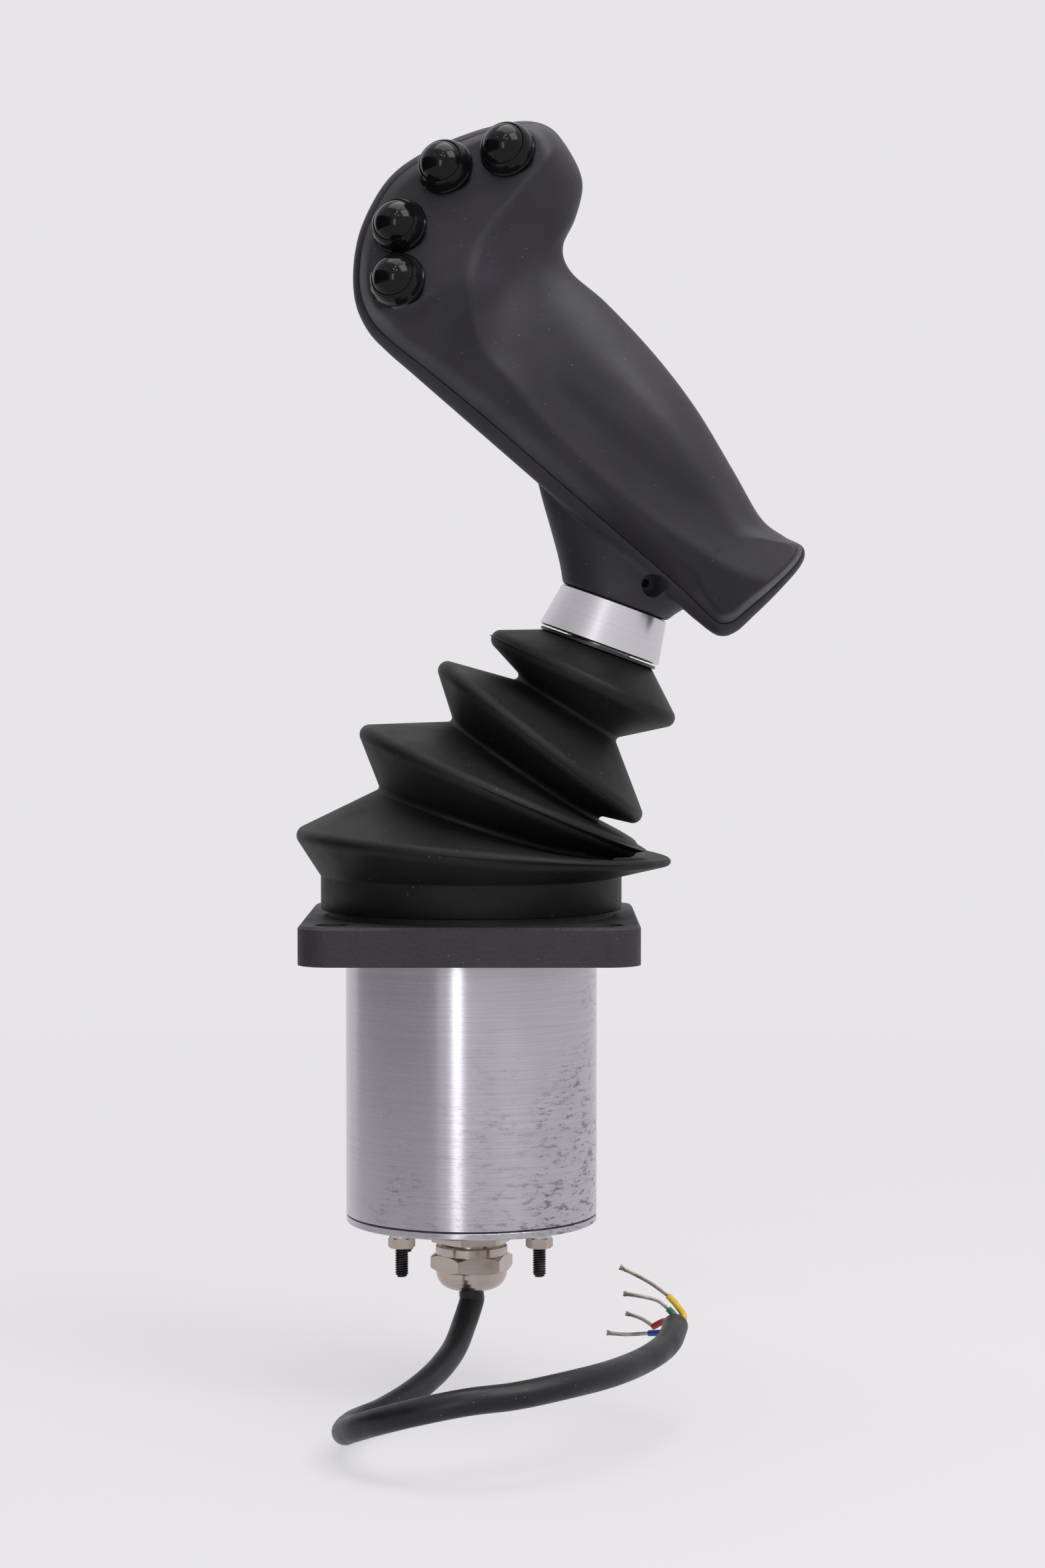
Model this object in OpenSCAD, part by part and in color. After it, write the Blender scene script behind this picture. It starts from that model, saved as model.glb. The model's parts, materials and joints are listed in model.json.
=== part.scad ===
// Industrial two-axis joystick: a panel flange with a closed aluminium can below it, a gimbal
// inside, a rubber bellows above it and an angled hand grip with four thumb buttons.
// Frame: origin at the centre of the flange's underside, +Z up, the grip's button side faces -Y.
// The lever is drawn leaning towards +X by lever_tilt, which is where it stands at rest.

/* [Lever] */
// Lean of the lever towards +X, degrees
lever_tilt = 20; // [14:0.5:20]
// Travel of the lever each way about both axes, degrees
lever_travel = 20; // [12:1:20]
// Pivot below the flange's underside
pivot_drop = 13; // [12:0.5:15]
// Diameter of the lever tube
lever_d = 12; // [10:0.5:13]
// Bore of the lever tube, which carries the button wires
lever_bore = 6; // [4:0.5:7]
// Height of the collar's lower face above the pivot
collar_height = 112.9; // [110:0.1:116]
// Length of the collar
collar_len = 13.4; // [10:0.2:16]
// Diameter of the collar at its lower face
collar_d = 38; // [34:0.5:40]
// Diameter of the collar at its upper face, which is also the foot of the grip
collar_top_d = 33.3; // [30:0.1:34]

/* [Flange] */
// Side of the square flange
flange_side = 100; // [98:1:120]
// Thickness of the flange
flange_thick = 11.5; // [10.5:0.5:15]
// Radius of the flange's upright corners
flange_corner = 10; // [6:1:12]
// Pitch of the square pattern of mounting holes
hole_pitch = 80; // [78:1:84]
// Diameter of the mounting holes
hole_d = 5.5; // [4.5:0.1:6]
// Diameter of the boss that carries the bellows
boss_d = 86.4; // [84:0.1:88]
// Height of that boss above the flange
boss_h = 6.5; // [6:0.5:9]

/* [Housing] */
// Outer diameter of the can
can_d = 76; // [75:0.5:80]
// Wall of the can
can_wall = 3; // [2:0.25:3]
// Depth from the flange's underside to the can's open end
can_depth = 78.8; // [76:0.2:90]
// Thickness of the bottom cover
cover_thick = 2; // [1.5:0.25:3]
// Thickness of the gasket under the cover
gasket_thick = 0.6; // [0.4:0.1:1]
// Distance from the can's side to the centre of each of its four long studs
stud_inset = 9; // [8.5:0.5:10]
// Diameter of the studs
stud_d = 4; // [3:0.5:4]
// Free length of the studs below the cover
stud_free = 13.7; // [11:0.1:20]

/* [Cable] */
// Diameter of the cable's jacket
cable_d = 7.5; // [6:0.25:8]
// Size across the flats of the cable gland
gland_flats = 22; // [21:0.5:23]
// Diameter of the gland's thread
gland_thread = 19.8; // [18:0.2:20]

/* [Bellows] */
// Wall of the rubber
rubber = 1.5; // [1:0.1:1.7]
// Outer diameter of the bellows' foot
boot_foot_d = 91; // [90:0.5:92]

/* [Grip] */
// Lean of the grip's straight rim from the lever's axis, degrees
grip_lean = 69.1; // [66:0.1:72]
// Wall of the grip's two halves
grip_wall = 3; // [2.2:0.1:3.2]
// Slope of the button pad against the parting plane, degrees
pad_slope = 27; // [24:0.5:30]
// Radius of the arc on which the four buttons stand
button_arc = 30.4; // [29:0.1:31]
// Diameter of a button's dome
dome_d = 12.6; // [11:0.1:13]
// Outer diameter of a button's bezel
bezel_d = 16.8; // [16:0.1:16.8]
// Travel of a button
button_travel = 2; // [1:0.1:2]

/* [Hidden] */

// Clearances
fit = 0.05;
gap = 0.3;
eps = 0.01;

// Colours
satin_black = [0.09, 0.09, 0.1];
rubber_black = [0.06, 0.06, 0.06];
gloss_black = [0.02, 0.02, 0.02];
aluminium = [0.78, 0.78, 0.8];
steel = [0.62, 0.63, 0.65];
nickel = [0.76, 0.73, 0.68];
board_green = [0.05, 0.3, 0.12];

// ---------------------------------------------------------------- shared shapes and places

module on_gimbal() translate([0, 0, -pivot_drop]) rotate([0, lever_tilt, 0]) children();

module on_lever() on_gimbal() children();

module along_x() rotate([0, 90, 0]) children();

module along_y() rotate([-90, 0, 0]) children();

module tube(od, id, h) difference() {
    cylinder(d = od, h = h, $fn = 64);
    translate([0, 0, -1]) cylinder(d = id, h = h + 2, $fn = 64);
}

module hex(flats, h) cylinder(d = flats / cos(30), h = h, $fn = 6);

module hex_nut(flats, bore, h) difference() {
    intersection() {
        hex(flats, h);
        rotate_extrude($fn = 48) polygon([[0, 0], [flats / 2, 0], [flats / cos(30) / 2, h * 0.15],
            [flats / cos(30) / 2, h * 0.85], [flats / 2, h], [0, h]]);
    }
    translate([0, 0, -1]) cylinder(d = bore, h = h + 2, $fn = 32);
}

module at_corners(pitch) for (x = [-1, 1], y = [-1, 1])
    translate([x * pitch / 2, y * pitch / 2, 0]) children();

module at_flange_screws() rotate([0, 0, 22.5]) at_quarters(flange_screw_r) children();

module at_quarters(r) for (q = [0:3]) rotate([0, 0, 90 * q]) translate([r, 0, 0]) children();

// ---------------------------------------------------------------- flange and limit plate

can_spigot = 1.5;
can_r = can_d / 2;
can_in = can_r - can_wall;
stud_pitch = (can_d - 2 * stud_inset) / sqrt(2);
throat_r = can_in - 8.5;
ledge_r = can_in - 2;
plate_thick = 2;
ledge_z = flange_thick - plate_thick;
cbore_d = 10;
cbore_depth = 5.5;
bead_z = flange_thick + 4.4;
bead_h = 1.8;
bead_depth = 1.2;
plate_screw_r = (throat_r + ledge_r) / 2;
flange_screw_r = can_in - 4;
flange_chamfer = 0.8;

module rounded_square(side, r, h) linear_extrude(h) union() {
    square([side, side - 2 * r], center = true);
    square([side - 2 * r, side], center = true);
    for (x = [-1, 1], y = [-1, 1]) translate([x, y] * (side / 2 - r)) circle(r, $fn = 64);
}

module mounting_flange() color(satin_black) difference() {
    union() {
        hull() {
            rounded_square(flange_side, flange_corner, flange_thick - flange_chamfer);
            rounded_square(flange_side - 2 * flange_chamfer, flange_corner - flange_chamfer, flange_thick);
        }
        translate([0, 0, flange_thick - 1]) cylinder(d = boss_d, h = boss_h + 1, $fn = 128);
    }
    translate([0, 0, -1]) cylinder(d = can_d + 2 * fit, h = can_spigot + 1, $fn = 128);
    cylinder(r = throat_r, h = flange_thick + boss_h + 1, $fn = 96);
    translate([0, 0, ledge_z]) cylinder(r = ledge_r, h = flange_thick + boss_h, $fn = 96);
    // groove for the bellows' bead
    translate([0, 0, bead_z - bead_h / 2 - gap]) difference() {
        cylinder(d = boss_d + 2, h = bead_h + 2 * gap, $fn = 128);
        translate([0, 0, -1]) cylinder(d = boss_d - 2 * bead_depth, h = bead_h + 3, $fn = 128);
    }
    at_corners(hole_pitch) {
        translate([0, 0, -1]) cylinder(d = hole_d, h = flange_thick + 2, $fn = 48);
        translate([0, 0, flange_thick - cbore_depth]) cylinder(d = cbore_d, h = cbore_depth + 1, $fn = 48);
    }
    at_flange_screws() {
        cylinder(d = 4.4, h = flange_thick, $fn = 32);
        translate([0, 0, ledge_z - 4.2]) cylinder(d = 7.6, h = 5, $fn = 32);
    }
    rotate([0, 0, 45]) at_quarters(plate_screw_r)
        translate([0, 0, ledge_z - 5]) cylinder(d = 2.5 + 2 * fit, h = 6, $fn = 24);
}

// How far the lever's side reaches at a height above the pivot, along X and along Y. The second
// axis leans with the first, so the reach along Y is the larger one.
function reach_x(h) = h * tan(lever_travel) + lever_d / 2 / cos(lever_travel);
function reach_y(h) = h * tan(lever_travel) / cos(lever_travel) + lever_d / 2 / cos(lever_travel) + 0.2;

module limit_plate() color(steel) translate([0, 0, ledge_z]) difference() {
    cylinder(r = ledge_r - gap, h = plate_thick, $fn = 96);
    gate_h = pivot_drop + flange_thick;
    gate = [2 * (reach_x(gate_h) + gap), 2 * (reach_y(gate_h) + gap)];
    translate([0, 0, plate_thick / 2]) cube([gate[0], gate[1], plate_thick + 2], center = true);
    rotate([0, 0, 45]) at_quarters(plate_screw_r) {
        translate([0, 0, -1]) cylinder(d = 2.7, h = plate_thick + 2, $fn = 24);
        translate([0, 0, plate_thick - 1.2]) cylinder(d1 = 2.7, d2 = 5.1 , h = 1.2 + eps, $fn = 24);
    }
}

module limit_plate_screws() color(steel) rotate([0, 0, 45]) at_quarters(plate_screw_r)
    translate([0, 0, ledge_z]) difference() {
        union() {
            translate([0, 0, -4.8]) cylinder(d = 2.5, h = plate_thick + 4.7, $fn = 24);
            translate([0, 0, plate_thick - 1.15]) cylinder(d1 = 2.5, d2 = 4.8, h = 1.15, $fn = 24);
        }
        translate([0, 0, plate_thick - 0.8]) cylinder(d = 1.8, h = 1, $fn = 6);
    }

module flange_screws() color(steel) at_flange_screws() difference() {
    union() {
        translate([0, 0, frame_top - frame_plate + 0.2]) cylinder(d = 4, h = ledge_z - 4.1 - frame_top + frame_plate - 0.2, $fn = 32);
        translate([0, 0, ledge_z - 4.2]) cylinder(d = 7, h = 4, $fn = 32);
    }
    translate([0, 0, ledge_z - 2.4]) cylinder(d = 3.4, h = 3, $fn = 6);
}

// ---------------------------------------------------------------- can, cover and its studs

can_top = 4.5;
gasket_z = -can_depth - gasket_thick;
cover_z = gasket_z - cover_thick;
stud_top = -pivot_drop + 1;
stud_end = cover_z - stud_free;
washer_h = 0.8;
lock_h = 1;
nut_h = 3.2;

module housing_can() color(aluminium) difference() {
    translate([0, 0, -can_depth]) cylinder(r = can_r, h = can_depth + can_spigot, $fn = 128);
    translate([0, 0, -can_depth - 1])
        cylinder(r = can_in, h = can_depth + 1 + can_spigot - can_top, $fn = 128);
    translate([0, 0, -10]) cylinder(r = throat_r + 0.5, h = 20, $fn = 96);
    at_flange_screws() translate([0, 0, -5]) cylinder(d = 4 + 2 * fit, h = 8, $fn = 32);
}

module bottom_gasket() color(rubber_black) translate([0, 0, gasket_z]) difference() {
    cylinder(r = can_r - 0.35, h = gasket_thick, $fn = 128);
    translate([0, 0, -1]) cylinder(r = can_in - 1, h = gasket_thick + 2, $fn = 128);
}

module bottom_cover() color(aluminium) translate([0, 0, cover_z]) difference() {
    rotate_extrude($fn = 128) polygon([[gland_thread / 2 + 0.2, 0], [can_r - 0.4, 0], [can_r, 0.4],
        [can_r, cover_thick - 0.2], [can_r - 0.2, cover_thick], [gland_thread / 2 + 0.2, cover_thick]]);
    at_corners(stud_pitch) translate([0, 0, -1]) cylinder(d = stud_d + 0.4, h = cover_thick + 2, $fn = 32);
}

module housing_studs() color([0.08, 0.08, 0.09]) at_corners(stud_pitch)
    translate([0, 0, stud_end]) union() {
        cylinder(d1 = stud_d - 1, d2 = stud_d, h = 0.5, $fn = 32);
        translate([0, 0, 0.5]) cylinder(d = stud_d, h = stud_top - stud_end - 0.5 + 7, $fn = 32);
    }

module stud_washers() color(steel) at_corners(stud_pitch) translate([0, 0, cover_z]) {
    translate([0, 0, -washer_h]) tube(2.25 * stud_d, stud_d + 0.3, washer_h);
    translate([0, 0, -washer_h - lock_h]) difference() {
        tube(1.8 * stud_d, stud_d + 0.2, lock_h);
        rotate([0, 0, 200]) translate([0, -0.4, -1]) cube([stud_d, 0.8, lock_h + 2]);
    }
}

module stud_nuts() color(nickel) at_corners(stud_pitch)
    translate([0, 0, cover_z - washer_h - lock_h - nut_h])
        hex_nut(1.75 * stud_d, stud_d + 2 * fit, nut_h);

// ---------------------------------------------------------------- gimbal frame, fixed in the can

ring_r = can_in - 14;
ring_in = ring_r - 5;
ring_h = 12;
boss_out = ring_r + 0.3;
axle_d = 6;
bush_d = 10;
disc_t = 1;
ped_in = boss_out + disc_t + 0.2;
ped_out = ped_in + 5;
frame_top = can_spigot - can_top;
ped_half = pivot_drop + frame_top;
frame_plate = 3;
frame_in = throat_r - 0.2;
board_gap = 4.3;
board_t = 1.2;
axle_end = ped_out + 1.5;
magnet_t = 2;
board_x_y = axle_end + magnet_t + 0.8;

module gimbal_frame() color([0.72, 0.72, 0.74]) difference() {
    union() {
        translate([0, 0, frame_top - frame_plate]) difference() {
            cylinder(r = can_in - 0.4, h = frame_plate, $fn = 96);
            translate([0, 0, -1]) cylinder(r = frame_in, h = frame_plate + 2, $fn = 96);
        }
        for (s = [-1, 1]) translate([-ped_half, s > 0 ? ped_in : -ped_out, -pivot_drop])
            cube([2 * ped_half, ped_out - ped_in, pivot_drop + frame_top]);
        for (s = [-1, 1]) translate([0, s > 0 ? ped_in : -ped_out, -pivot_drop])
            along_y() cylinder(r = ped_half, h = ped_out - ped_in, $fn = 64);
        at_corners(stud_pitch) translate([0, 0, stud_top - eps])
            cylinder(d = stud_d + 4.4, h = frame_top - stud_top, $fn = 32);
        // posts that carry the sensor board
        for (x = [-1, 1]) translate([x * 5, -board_x_y, -pivot_drop - 8])
            along_y() cylinder(d = 3, h = board_x_y - ped_out + 1, $fn = 24);
    }
    translate([0, 50, -pivot_drop]) rotate([90, 0, 0]) cylinder(d = bush_d + 2 * fit, h = 100, $fn = 48);
    at_corners(stud_pitch) translate([0, 0, stud_top - 1])
        cylinder(d = stud_d + 2 * fit, h = pivot_drop + 5, $fn = 32);
    at_flange_screws() translate([0, 0, -8]) cylinder(d = 4 + 2 * fit, h = 10, $fn = 32);
    // room for the ring's sensor board as it swings up
    translate([0, -7.5, -8]) cube([29.5, 15, 10]);
}

module frame_bushes() color([0.72, 0.55, 0.3]) for (s = [0, 180]) rotate([0, 0, s])
    translate([0, ped_in, -pivot_drop]) along_y() tube(bush_d, axle_d + 2 * fit, ped_out - ped_in);

module friction_discs() color([0.35, 0.28, 0.2]) for (s = [0, 180]) rotate([0, 0, s])
    translate([0, boss_out + 0.1, -pivot_drop]) along_y() tube(13, axle_d + 0.2, disc_t);

module hall_board_x() color(board_green) difference() {
    translate([-7, -board_x_y - board_t, -pivot_drop - 10]) cube([14, board_t, 16.5]);
    for (x = [-1, 1]) translate([x * 5, -board_x_y - board_t - 1, -pivot_drop - 8])
        along_y() cylinder(d = 1.6, h = board_t + 2, $fn = 24);
}

// ---------------------------------------------------------------- gimbal ring, leans about Y

pin_d = 5;
pin_bush = 9;
pin_end = boss_out + 2.2;
board_y_x = pin_end + magnet_t + 0.8;

module gimbal_ring() color([0.8, 0.8, 0.82]) on_gimbal() difference() {
    union() {
        translate([0, 0, -ring_h / 2]) cylinder(r = ring_r, h = ring_h, $fn = 96);
        for (s = [0, 90, 180, 270]) rotate([0, 0, s]) translate([ring_in, 0, 0])
            along_x() cylinder(d = 12, h = boss_out - ring_in, $fn = 48);
        for (y = [-1, 1]) translate([ring_r - 2, y * 4.6, -4.5])
            along_x() cylinder(d = 2.4, h = board_y_x - ring_r + 2, $fn = 24);
    }
    translate([0, 0, -ring_h]) cylinder(r = ring_in, h = 2 * ring_h, $fn = 96);
    translate([0, 40, 0]) rotate([90, 0, 0]) cylinder(d = axle_d + 2 * fit, h = 80, $fn = 48);
    for (s = [0, 180]) rotate([0, 0, s]) translate([ring_in - 2, 0, 0])
        along_x() cylinder(d = pin_bush + 2 * fit, h = ring_r, $fn = 48);
}

module ring_trunnions() color(steel) on_gimbal() {
    translate([0, axle_in, 0]) along_y() cylinder(d = axle_d, h = nut_end - axle_in, $fn = 48);
    translate([0, -axle_end, 0]) along_y() cylinder(d = axle_d, h = axle_end - axle_in, $fn = 48);
}

// two dished spring washers, back to back, then the nut that sets the friction
spring_h = 2.2;
nut_in = ped_out + 0.1 + spring_h + 0.1;
nut_end = nut_in + 3.4;
axle_in = ring_in - 1.5;

module disc_springs() color(steel) on_gimbal() translate([0, ped_out + 0.1, 0]) along_y()
    for (s = [0, 1]) translate([0, 0, s * spring_h]) mirror([0, 0, s]) rotate_extrude($fn = 48)
        polygon([[3.15, 0.55], [5.5, 0], [5.5, 0.5], [3.15, 1.05]]);

module preload_nut() color(nickel) on_gimbal() translate([0, nut_in, 0]) along_y()
    hex_nut(10, axle_d + 2 * fit, 3);

module magnet_x() color([0.5, 0.5, 0.52]) on_gimbal() translate([0, -axle_end - magnet_t, 0])
    along_y() cylinder(d = axle_d, h = magnet_t, $fn = 32);

module ring_bushes() color([0.72, 0.55, 0.3]) on_gimbal() for (s = [0, 180]) rotate([0, 0, s])
    translate([ring_in + 0.2, 0, 0]) along_x() tube(pin_bush, pin_d + 2 * fit, boss_out - ring_in - 0.2);

module hall_board_y() color(board_green) on_gimbal() difference() {
    translate([board_y_x, -6, -9]) cube([board_t, 12, 13]);
    for (y = [-1, 1]) translate([board_y_x - 1, y * 4.6, -4.5])
        along_x() cylinder(d = 1.2, h = board_t + 2, $fn = 24);
}

// ---------------------------------------------------------------- lever, leans about the ring's X

hub_d = 18;
hub_h = 16;
neck_foot = collar_height + collar_len + 0.2;
lever_top = neck_foot + 19.5;
sleeve_d = 20;
sleeve_grip = 12;
washer_d = collar_d - 1.4;
washer_t = 0.9;
boot_top_h = collar_height - washer_t - 0.5;
boot_lip = 2;

module lever_shaft() color(steel) on_lever() difference() {
    union() {
        translate([0, 0, -hub_h / 2]) cylinder(d = hub_d, h = hub_h, $fn = 64);
        translate([0, 0, hub_h / 2 - eps]) cylinder(d1 = hub_d, d2 = lever_d, h = 4, $fn = 64);
        cylinder(d = lever_d, h = lever_top, $fn = 64);
    }
    translate([0, 0, hub_h / 2]) cylinder(d = lever_bore, h = lever_top, $fn = 48);
    translate([-20, 0, 0]) along_x() cylinder(d = pin_d + 2 * fit, h = 40, $fn = 48);
}

module cross_pin() color(steel) on_lever() translate([-pin_end, 0, 0]) along_x()
    cylinder(d = pin_d, h = 2 * pin_end, $fn = 48);

module magnet_y() color([0.5, 0.5, 0.52]) on_lever() translate([pin_end, 0, 0]) along_x()
    cylinder(d = pin_d, h = magnet_t, $fn = 32);

module lever_sleeve() color(steel) on_lever() translate([0, 0, boot_top_h - sleeve_grip])
    tube(sleeve_d, lever_d + 2 * fit, collar_height - boot_top_h + sleeve_grip);

module boot_washer() color(gloss_black) on_lever() translate([0, 0, boot_top_h])
    tube(washer_d, sleeve_d + 2 * fit, washer_t);

module lever_collar() color(aluminium) on_lever() translate([0, 0, collar_height])
    rotate_extrude($fn = 96) polygon([[lever_d / 2 + fit, 0], [collar_d / 2 - 0.5, 0],
        [collar_d / 2, 0.4], [collar_top_d / 2 + 0.1, collar_len - 0.3],
        [collar_top_d / 2 - 0.3, collar_len], [lever_d / 2 + fit, collar_len]]);

// ---------------------------------------------------------------- boards inside the can

board_z = -45.6;
pcb_t = 1.6;

module circuit_board() color(board_green) translate([0, 0, board_z]) difference() {
    union() {
        cylinder(r = can_in - 2, h = pcb_t, $fn = 96);
        for (p = [[-12, 8, 9, 9], [10, 12, 6, 10], [14, -6, 8, 6], [-16, -8, 6, 8]])
            translate([p[0] - p[2] / 2, p[1] - p[3] / 2, pcb_t - eps]) cube([p[2], p[3], 1.6]);
    }
    at_corners(stud_pitch) translate([0, 0, -1]) cylinder(d = stud_d + 0.4, h = pcb_t + 2, $fn = 32);
}

module board_spacers() color(nickel) at_corners(stud_pitch) translate([0, 0, board_z + pcb_t])
    tube(stud_d + 2.4, stud_d + 0.2, stud_top - board_z - pcb_t - 0.1);

module board_nuts() color(nickel) at_corners(stud_pitch) translate([0, 0, board_z - nut_h])
    hex_nut(1.75 * stud_d, stud_d + 2 * fit, nut_h);

block_h = 9;
module terminal_block() color([0.1, 0.35, 0.2]) translate([-10, -5, board_z - block_h]) difference() {
    cube([20, 10, block_h]);
    for (i = [0:3]) translate([2.5 + 5 * i, 5, -1]) cylinder(d = 2.2, h = block_h - 2, $fn = 24);
}

cable_in_top = -66;
lead_d = 1.2;
module inner_leads() color([0.6, 0.1, 0.1]) for (i = [0:3]) let (x = -7.5 + 5 * i)
    cord([[x * 0.26, 0, cable_in_top - 0.5], [x * 0.26, 0, cable_in_top + 2], [x * 0.7, 0, cable_in_top + 5],
        [x, 0, cable_in_top + 8], [x, 0, board_z - block_h + 4]], lead_d, 8, 2);

// ---------------------------------------------------------------- cable gland

gland_top = cover_z - 1;
body_hex_h = 5.6;
cap_top = gland_top - body_hex_h - 0.8;
cap_hex_top = cap_top - 2.9;
cap_hex_low = cap_hex_top - 5;
cap_low = cap_hex_low - 5.8;
cap_r = gland_flats / 2 - 0.1;
exit_r = cable_d / 2 + 0.35;

module gland_body() color(nickel) difference() {
    union() {
        translate([0, 0, gland_top - body_hex_h]) rotate([0, 0, 12]) intersection() {
            hex(gland_flats, body_hex_h);
            cylinder(d = gland_flats * 1.11, h = body_hex_h, $fn = 64);
        }
        translate([0, 0, gland_top - eps]) cylinder(d = gland_thread, h = 11, $fn = 64);
        translate([0, 0, cap_hex_low + 1.2]) cylinder(d = gland_thread - 1.6,
            h = gland_top - body_hex_h - cap_hex_low - 1.1, $fn = 64);
    }
    translate([0, 0, cap_low]) cylinder(d = 15.4, h = gland_top - body_hex_h - cap_low, $fn = 48);
    translate([0, 0, cap_low]) cylinder(d = cable_d + 2, h = 60, $fn = 48);
}

module gland_washer() color(rubber_black) translate([0, 0, cover_z - 1])
    tube(gland_flats, gland_thread + 0.2, 1);

module gland_locknut() color(nickel) translate([0, 0, cover_z + cover_thick])
    hex_nut(gland_flats + 2, gland_thread + 2 * fit, 3.5);

module gland_seal() color(rubber_black) translate([0, 0, cap_hex_low + 0.4])
    tube(15, cable_d + 2 * fit, gland_top - body_hex_h - cap_hex_low - 1);

module gland_cap() color(nickel) difference() {
    union() {
        rotate_extrude($fn = 96) polygon(concat([[0, cap_top], [cap_r - 0.5, cap_top],
            [cap_r, cap_top - 0.5], [cap_r, cap_hex_low]],
            [for (t = [15:15:75]) [exit_r + 1.6 + (cap_r - exit_r - 1.6) * cos(t),
                cap_hex_low - (cap_hex_low - cap_low) * sin(t)]],
            [[exit_r + 1.6, cap_low], [0, cap_low]]));
        translate([0, 0, cap_hex_low]) rotate([0, 0, 12]) intersection() {
            hex(gland_flats, cap_hex_top - cap_hex_low);
            rotate_extrude($fn = 64) polygon([[0, 0], [gland_flats / 2 + 0.2, 0],
                [gland_flats / 2 + 1.7, 1], [gland_flats / 2 + 1.7, 4], [gland_flats / 2 + 0.2, 5], [0, 5]]);
        }
    }
    translate([0, 0, cap_hex_low + 1]) cylinder(d = gland_thread - 1.5, h = 20, $fn = 64);
    translate([0, 0, cap_hex_low - 0.2]) cylinder(d = 15.4, h = 10, $fn = 48);
    translate([0, 0, cap_low - 1]) cylinder(r = exit_r, h = 20, $fn = 48);
}

module cable_inner() color(rubber_black) translate([0, 0, cap_low])
    cylinder(d = cable_d, h = cable_in_top - cap_low, $fn = 32);

// ---------------------------------------------------------------- free cable and its cores

// The cable falls from the gland, turns forwards and to the left, and comes back to the right.
cable_route = [[0, 0, cap_low], [0, 0, cap_low - 2], [0, 0, cap_low - 4], [-2, -5, -112], [-5, -15, -118], [-10, -29, -122],
    [-17, -44, -125], [-25, -58, -127], [-32, -72, -127], [-34, -87, -126], [-31, -101, -122],
    [-23, -113, -117], [-12, -119, -113], [1, -121, -110], [14, -118, -109], [28, -109, -108],
    [40, -95, -108], [50, -77, -108], [57, -60, -107], [60, -45, -105]];

function lerp(a, b, t) = a + (b - a) * t;
function catmull(p0, p1, p2, p3, t) = 0.5 * (2 * p1 + (p2 - p0) * t
    + (2 * p0 - 5 * p1 + 4 * p2 - p3) * t * t + (3 * p1 - p0 - 3 * p2 + p3) * t * t * t);
function clamp(x, lo, hi) = min(max(x, lo), hi);
function unit(v) = v / norm(v);
// a smooth open curve through the points, with steps parts to each span
function smooth_path(p, steps) = let (n = len(p)) concat([for (i = [0:n - 2], s = [0:steps - 1])
    catmull(p[max(i - 1, 0)], p[i], p[i + 1], p[min(i + 2, n - 1)], s / steps)], [p[n - 1]]);

// A solid from a list of rings with the same number of points. ends closes both ends with fans,
// otherwise the last ring joins the first.
module skin(rings, ends = true) {
    n = len(rings[0]);
    m = len(rings);
    last = ends ? m - 2 : m - 1;
    walls = [for (i = [0:last], j = [0:n - 1]) let (k = (j + 1) % n, i2 = (i + 1) % m)
        each [[i * n + j, i2 * n + k, i * n + k], [i * n + j, i2 * n + j, i2 * n + k]]];
    caps = ends ? [for (j = [1:n - 2]) each [[0, j, j + 1], [(m - 1) * n, (m - 1) * n + j + 1, (m - 1) * n + j]]] : [];
    polyhedron([for (r = rings) each r], concat(walls, caps), convexity = 10);
}

// Round rings square to a path. The first ring's sideways direction is carried along the path.
function path_dir(p, i) = unit(p[min(i + 1, len(p) - 1)] - p[max(i - 1, 0)]);
function carried(p, i, side) = let (d = path_dir(p, i)) unit(side - (side * d) * d);
function frames(p, i, side) = i == len(p) ? [] : let (s = carried(p, i, side)) concat([s], frames(p, i + 1, s));
function sweep_rings(p, d, sides) = let (f = frames(p, 0, [1, 0.3, 0.1])) [for (i = [0:len(p) - 1])
    let (t = path_dir(p, i), u = f[i], w = cross(t, u))
    [for (k = [0:sides - 1]) p[i] + d / 2 * (cos(360 * k / sides) * u + sin(360 * k / sides) * w)]];

module cord(points, d, sides, steps) skin(sweep_rings(smooth_path(points, steps), d, sides));

module cable_jacket() color(rubber_black) cord(cable_route, cable_d, 12, 2);

// Each core leaves the jacket's end, and its bare strands bend back to the left.
cable_end = cable_route[len(cable_route) - 1];
core_d = 1.9;
strand_d = 1.1;
yellow_route = [cable_end + [1.5, -1.6, 0], [62.6, -41.5, -103], [60.6, -40.5, -99.8], [58, -40, -97]];
green_route = [cable_end + [-0.4, -1.3, 1.5], [59.8, -42, -102.6], [58, -41.5, -100.6]];
red_route = [cable_end + [-1.6, -1.3, -0.6], [57.4, -38, -105], [54, -34, -107.4]];
blue_route = [cable_end + [-0.1, -1.3, -1.9], [58.6, -37, -108.6], [53, -31, -110]];
bare_routes = [[yellow_route[3], [52, -40, -92.8], [44, -41, -88.5]],
    [green_route[2], [54.8, -41.5, -98.2], [50, -42, -96.9], [45, -43, -95.9]],
    [red_route[2], [50.5, -33, -105.2], [46, -34, -103.5]],
    [blue_route[2], [46, -29, -110.8], [40.5, -29, -110.3]]];

module core_yellow() color([0.95, 0.8, 0.1]) cord(yellow_route, core_d, 8, 2);
module core_green() color([0.05, 0.45, 0.3]) cord(green_route, core_d, 8, 2);
module core_red() color([0.7, 0.08, 0.06]) cord(red_route, core_d, 8, 2);
module core_blue() color([0.1, 0.2, 0.6]) cord(blue_route, core_d, 8, 2);
module bare_strands() color([0.6, 0.58, 0.55]) for (r = bare_routes) cord(r, strand_d, 6, 2);

// ---------------------------------------------------------------- bellows

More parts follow.
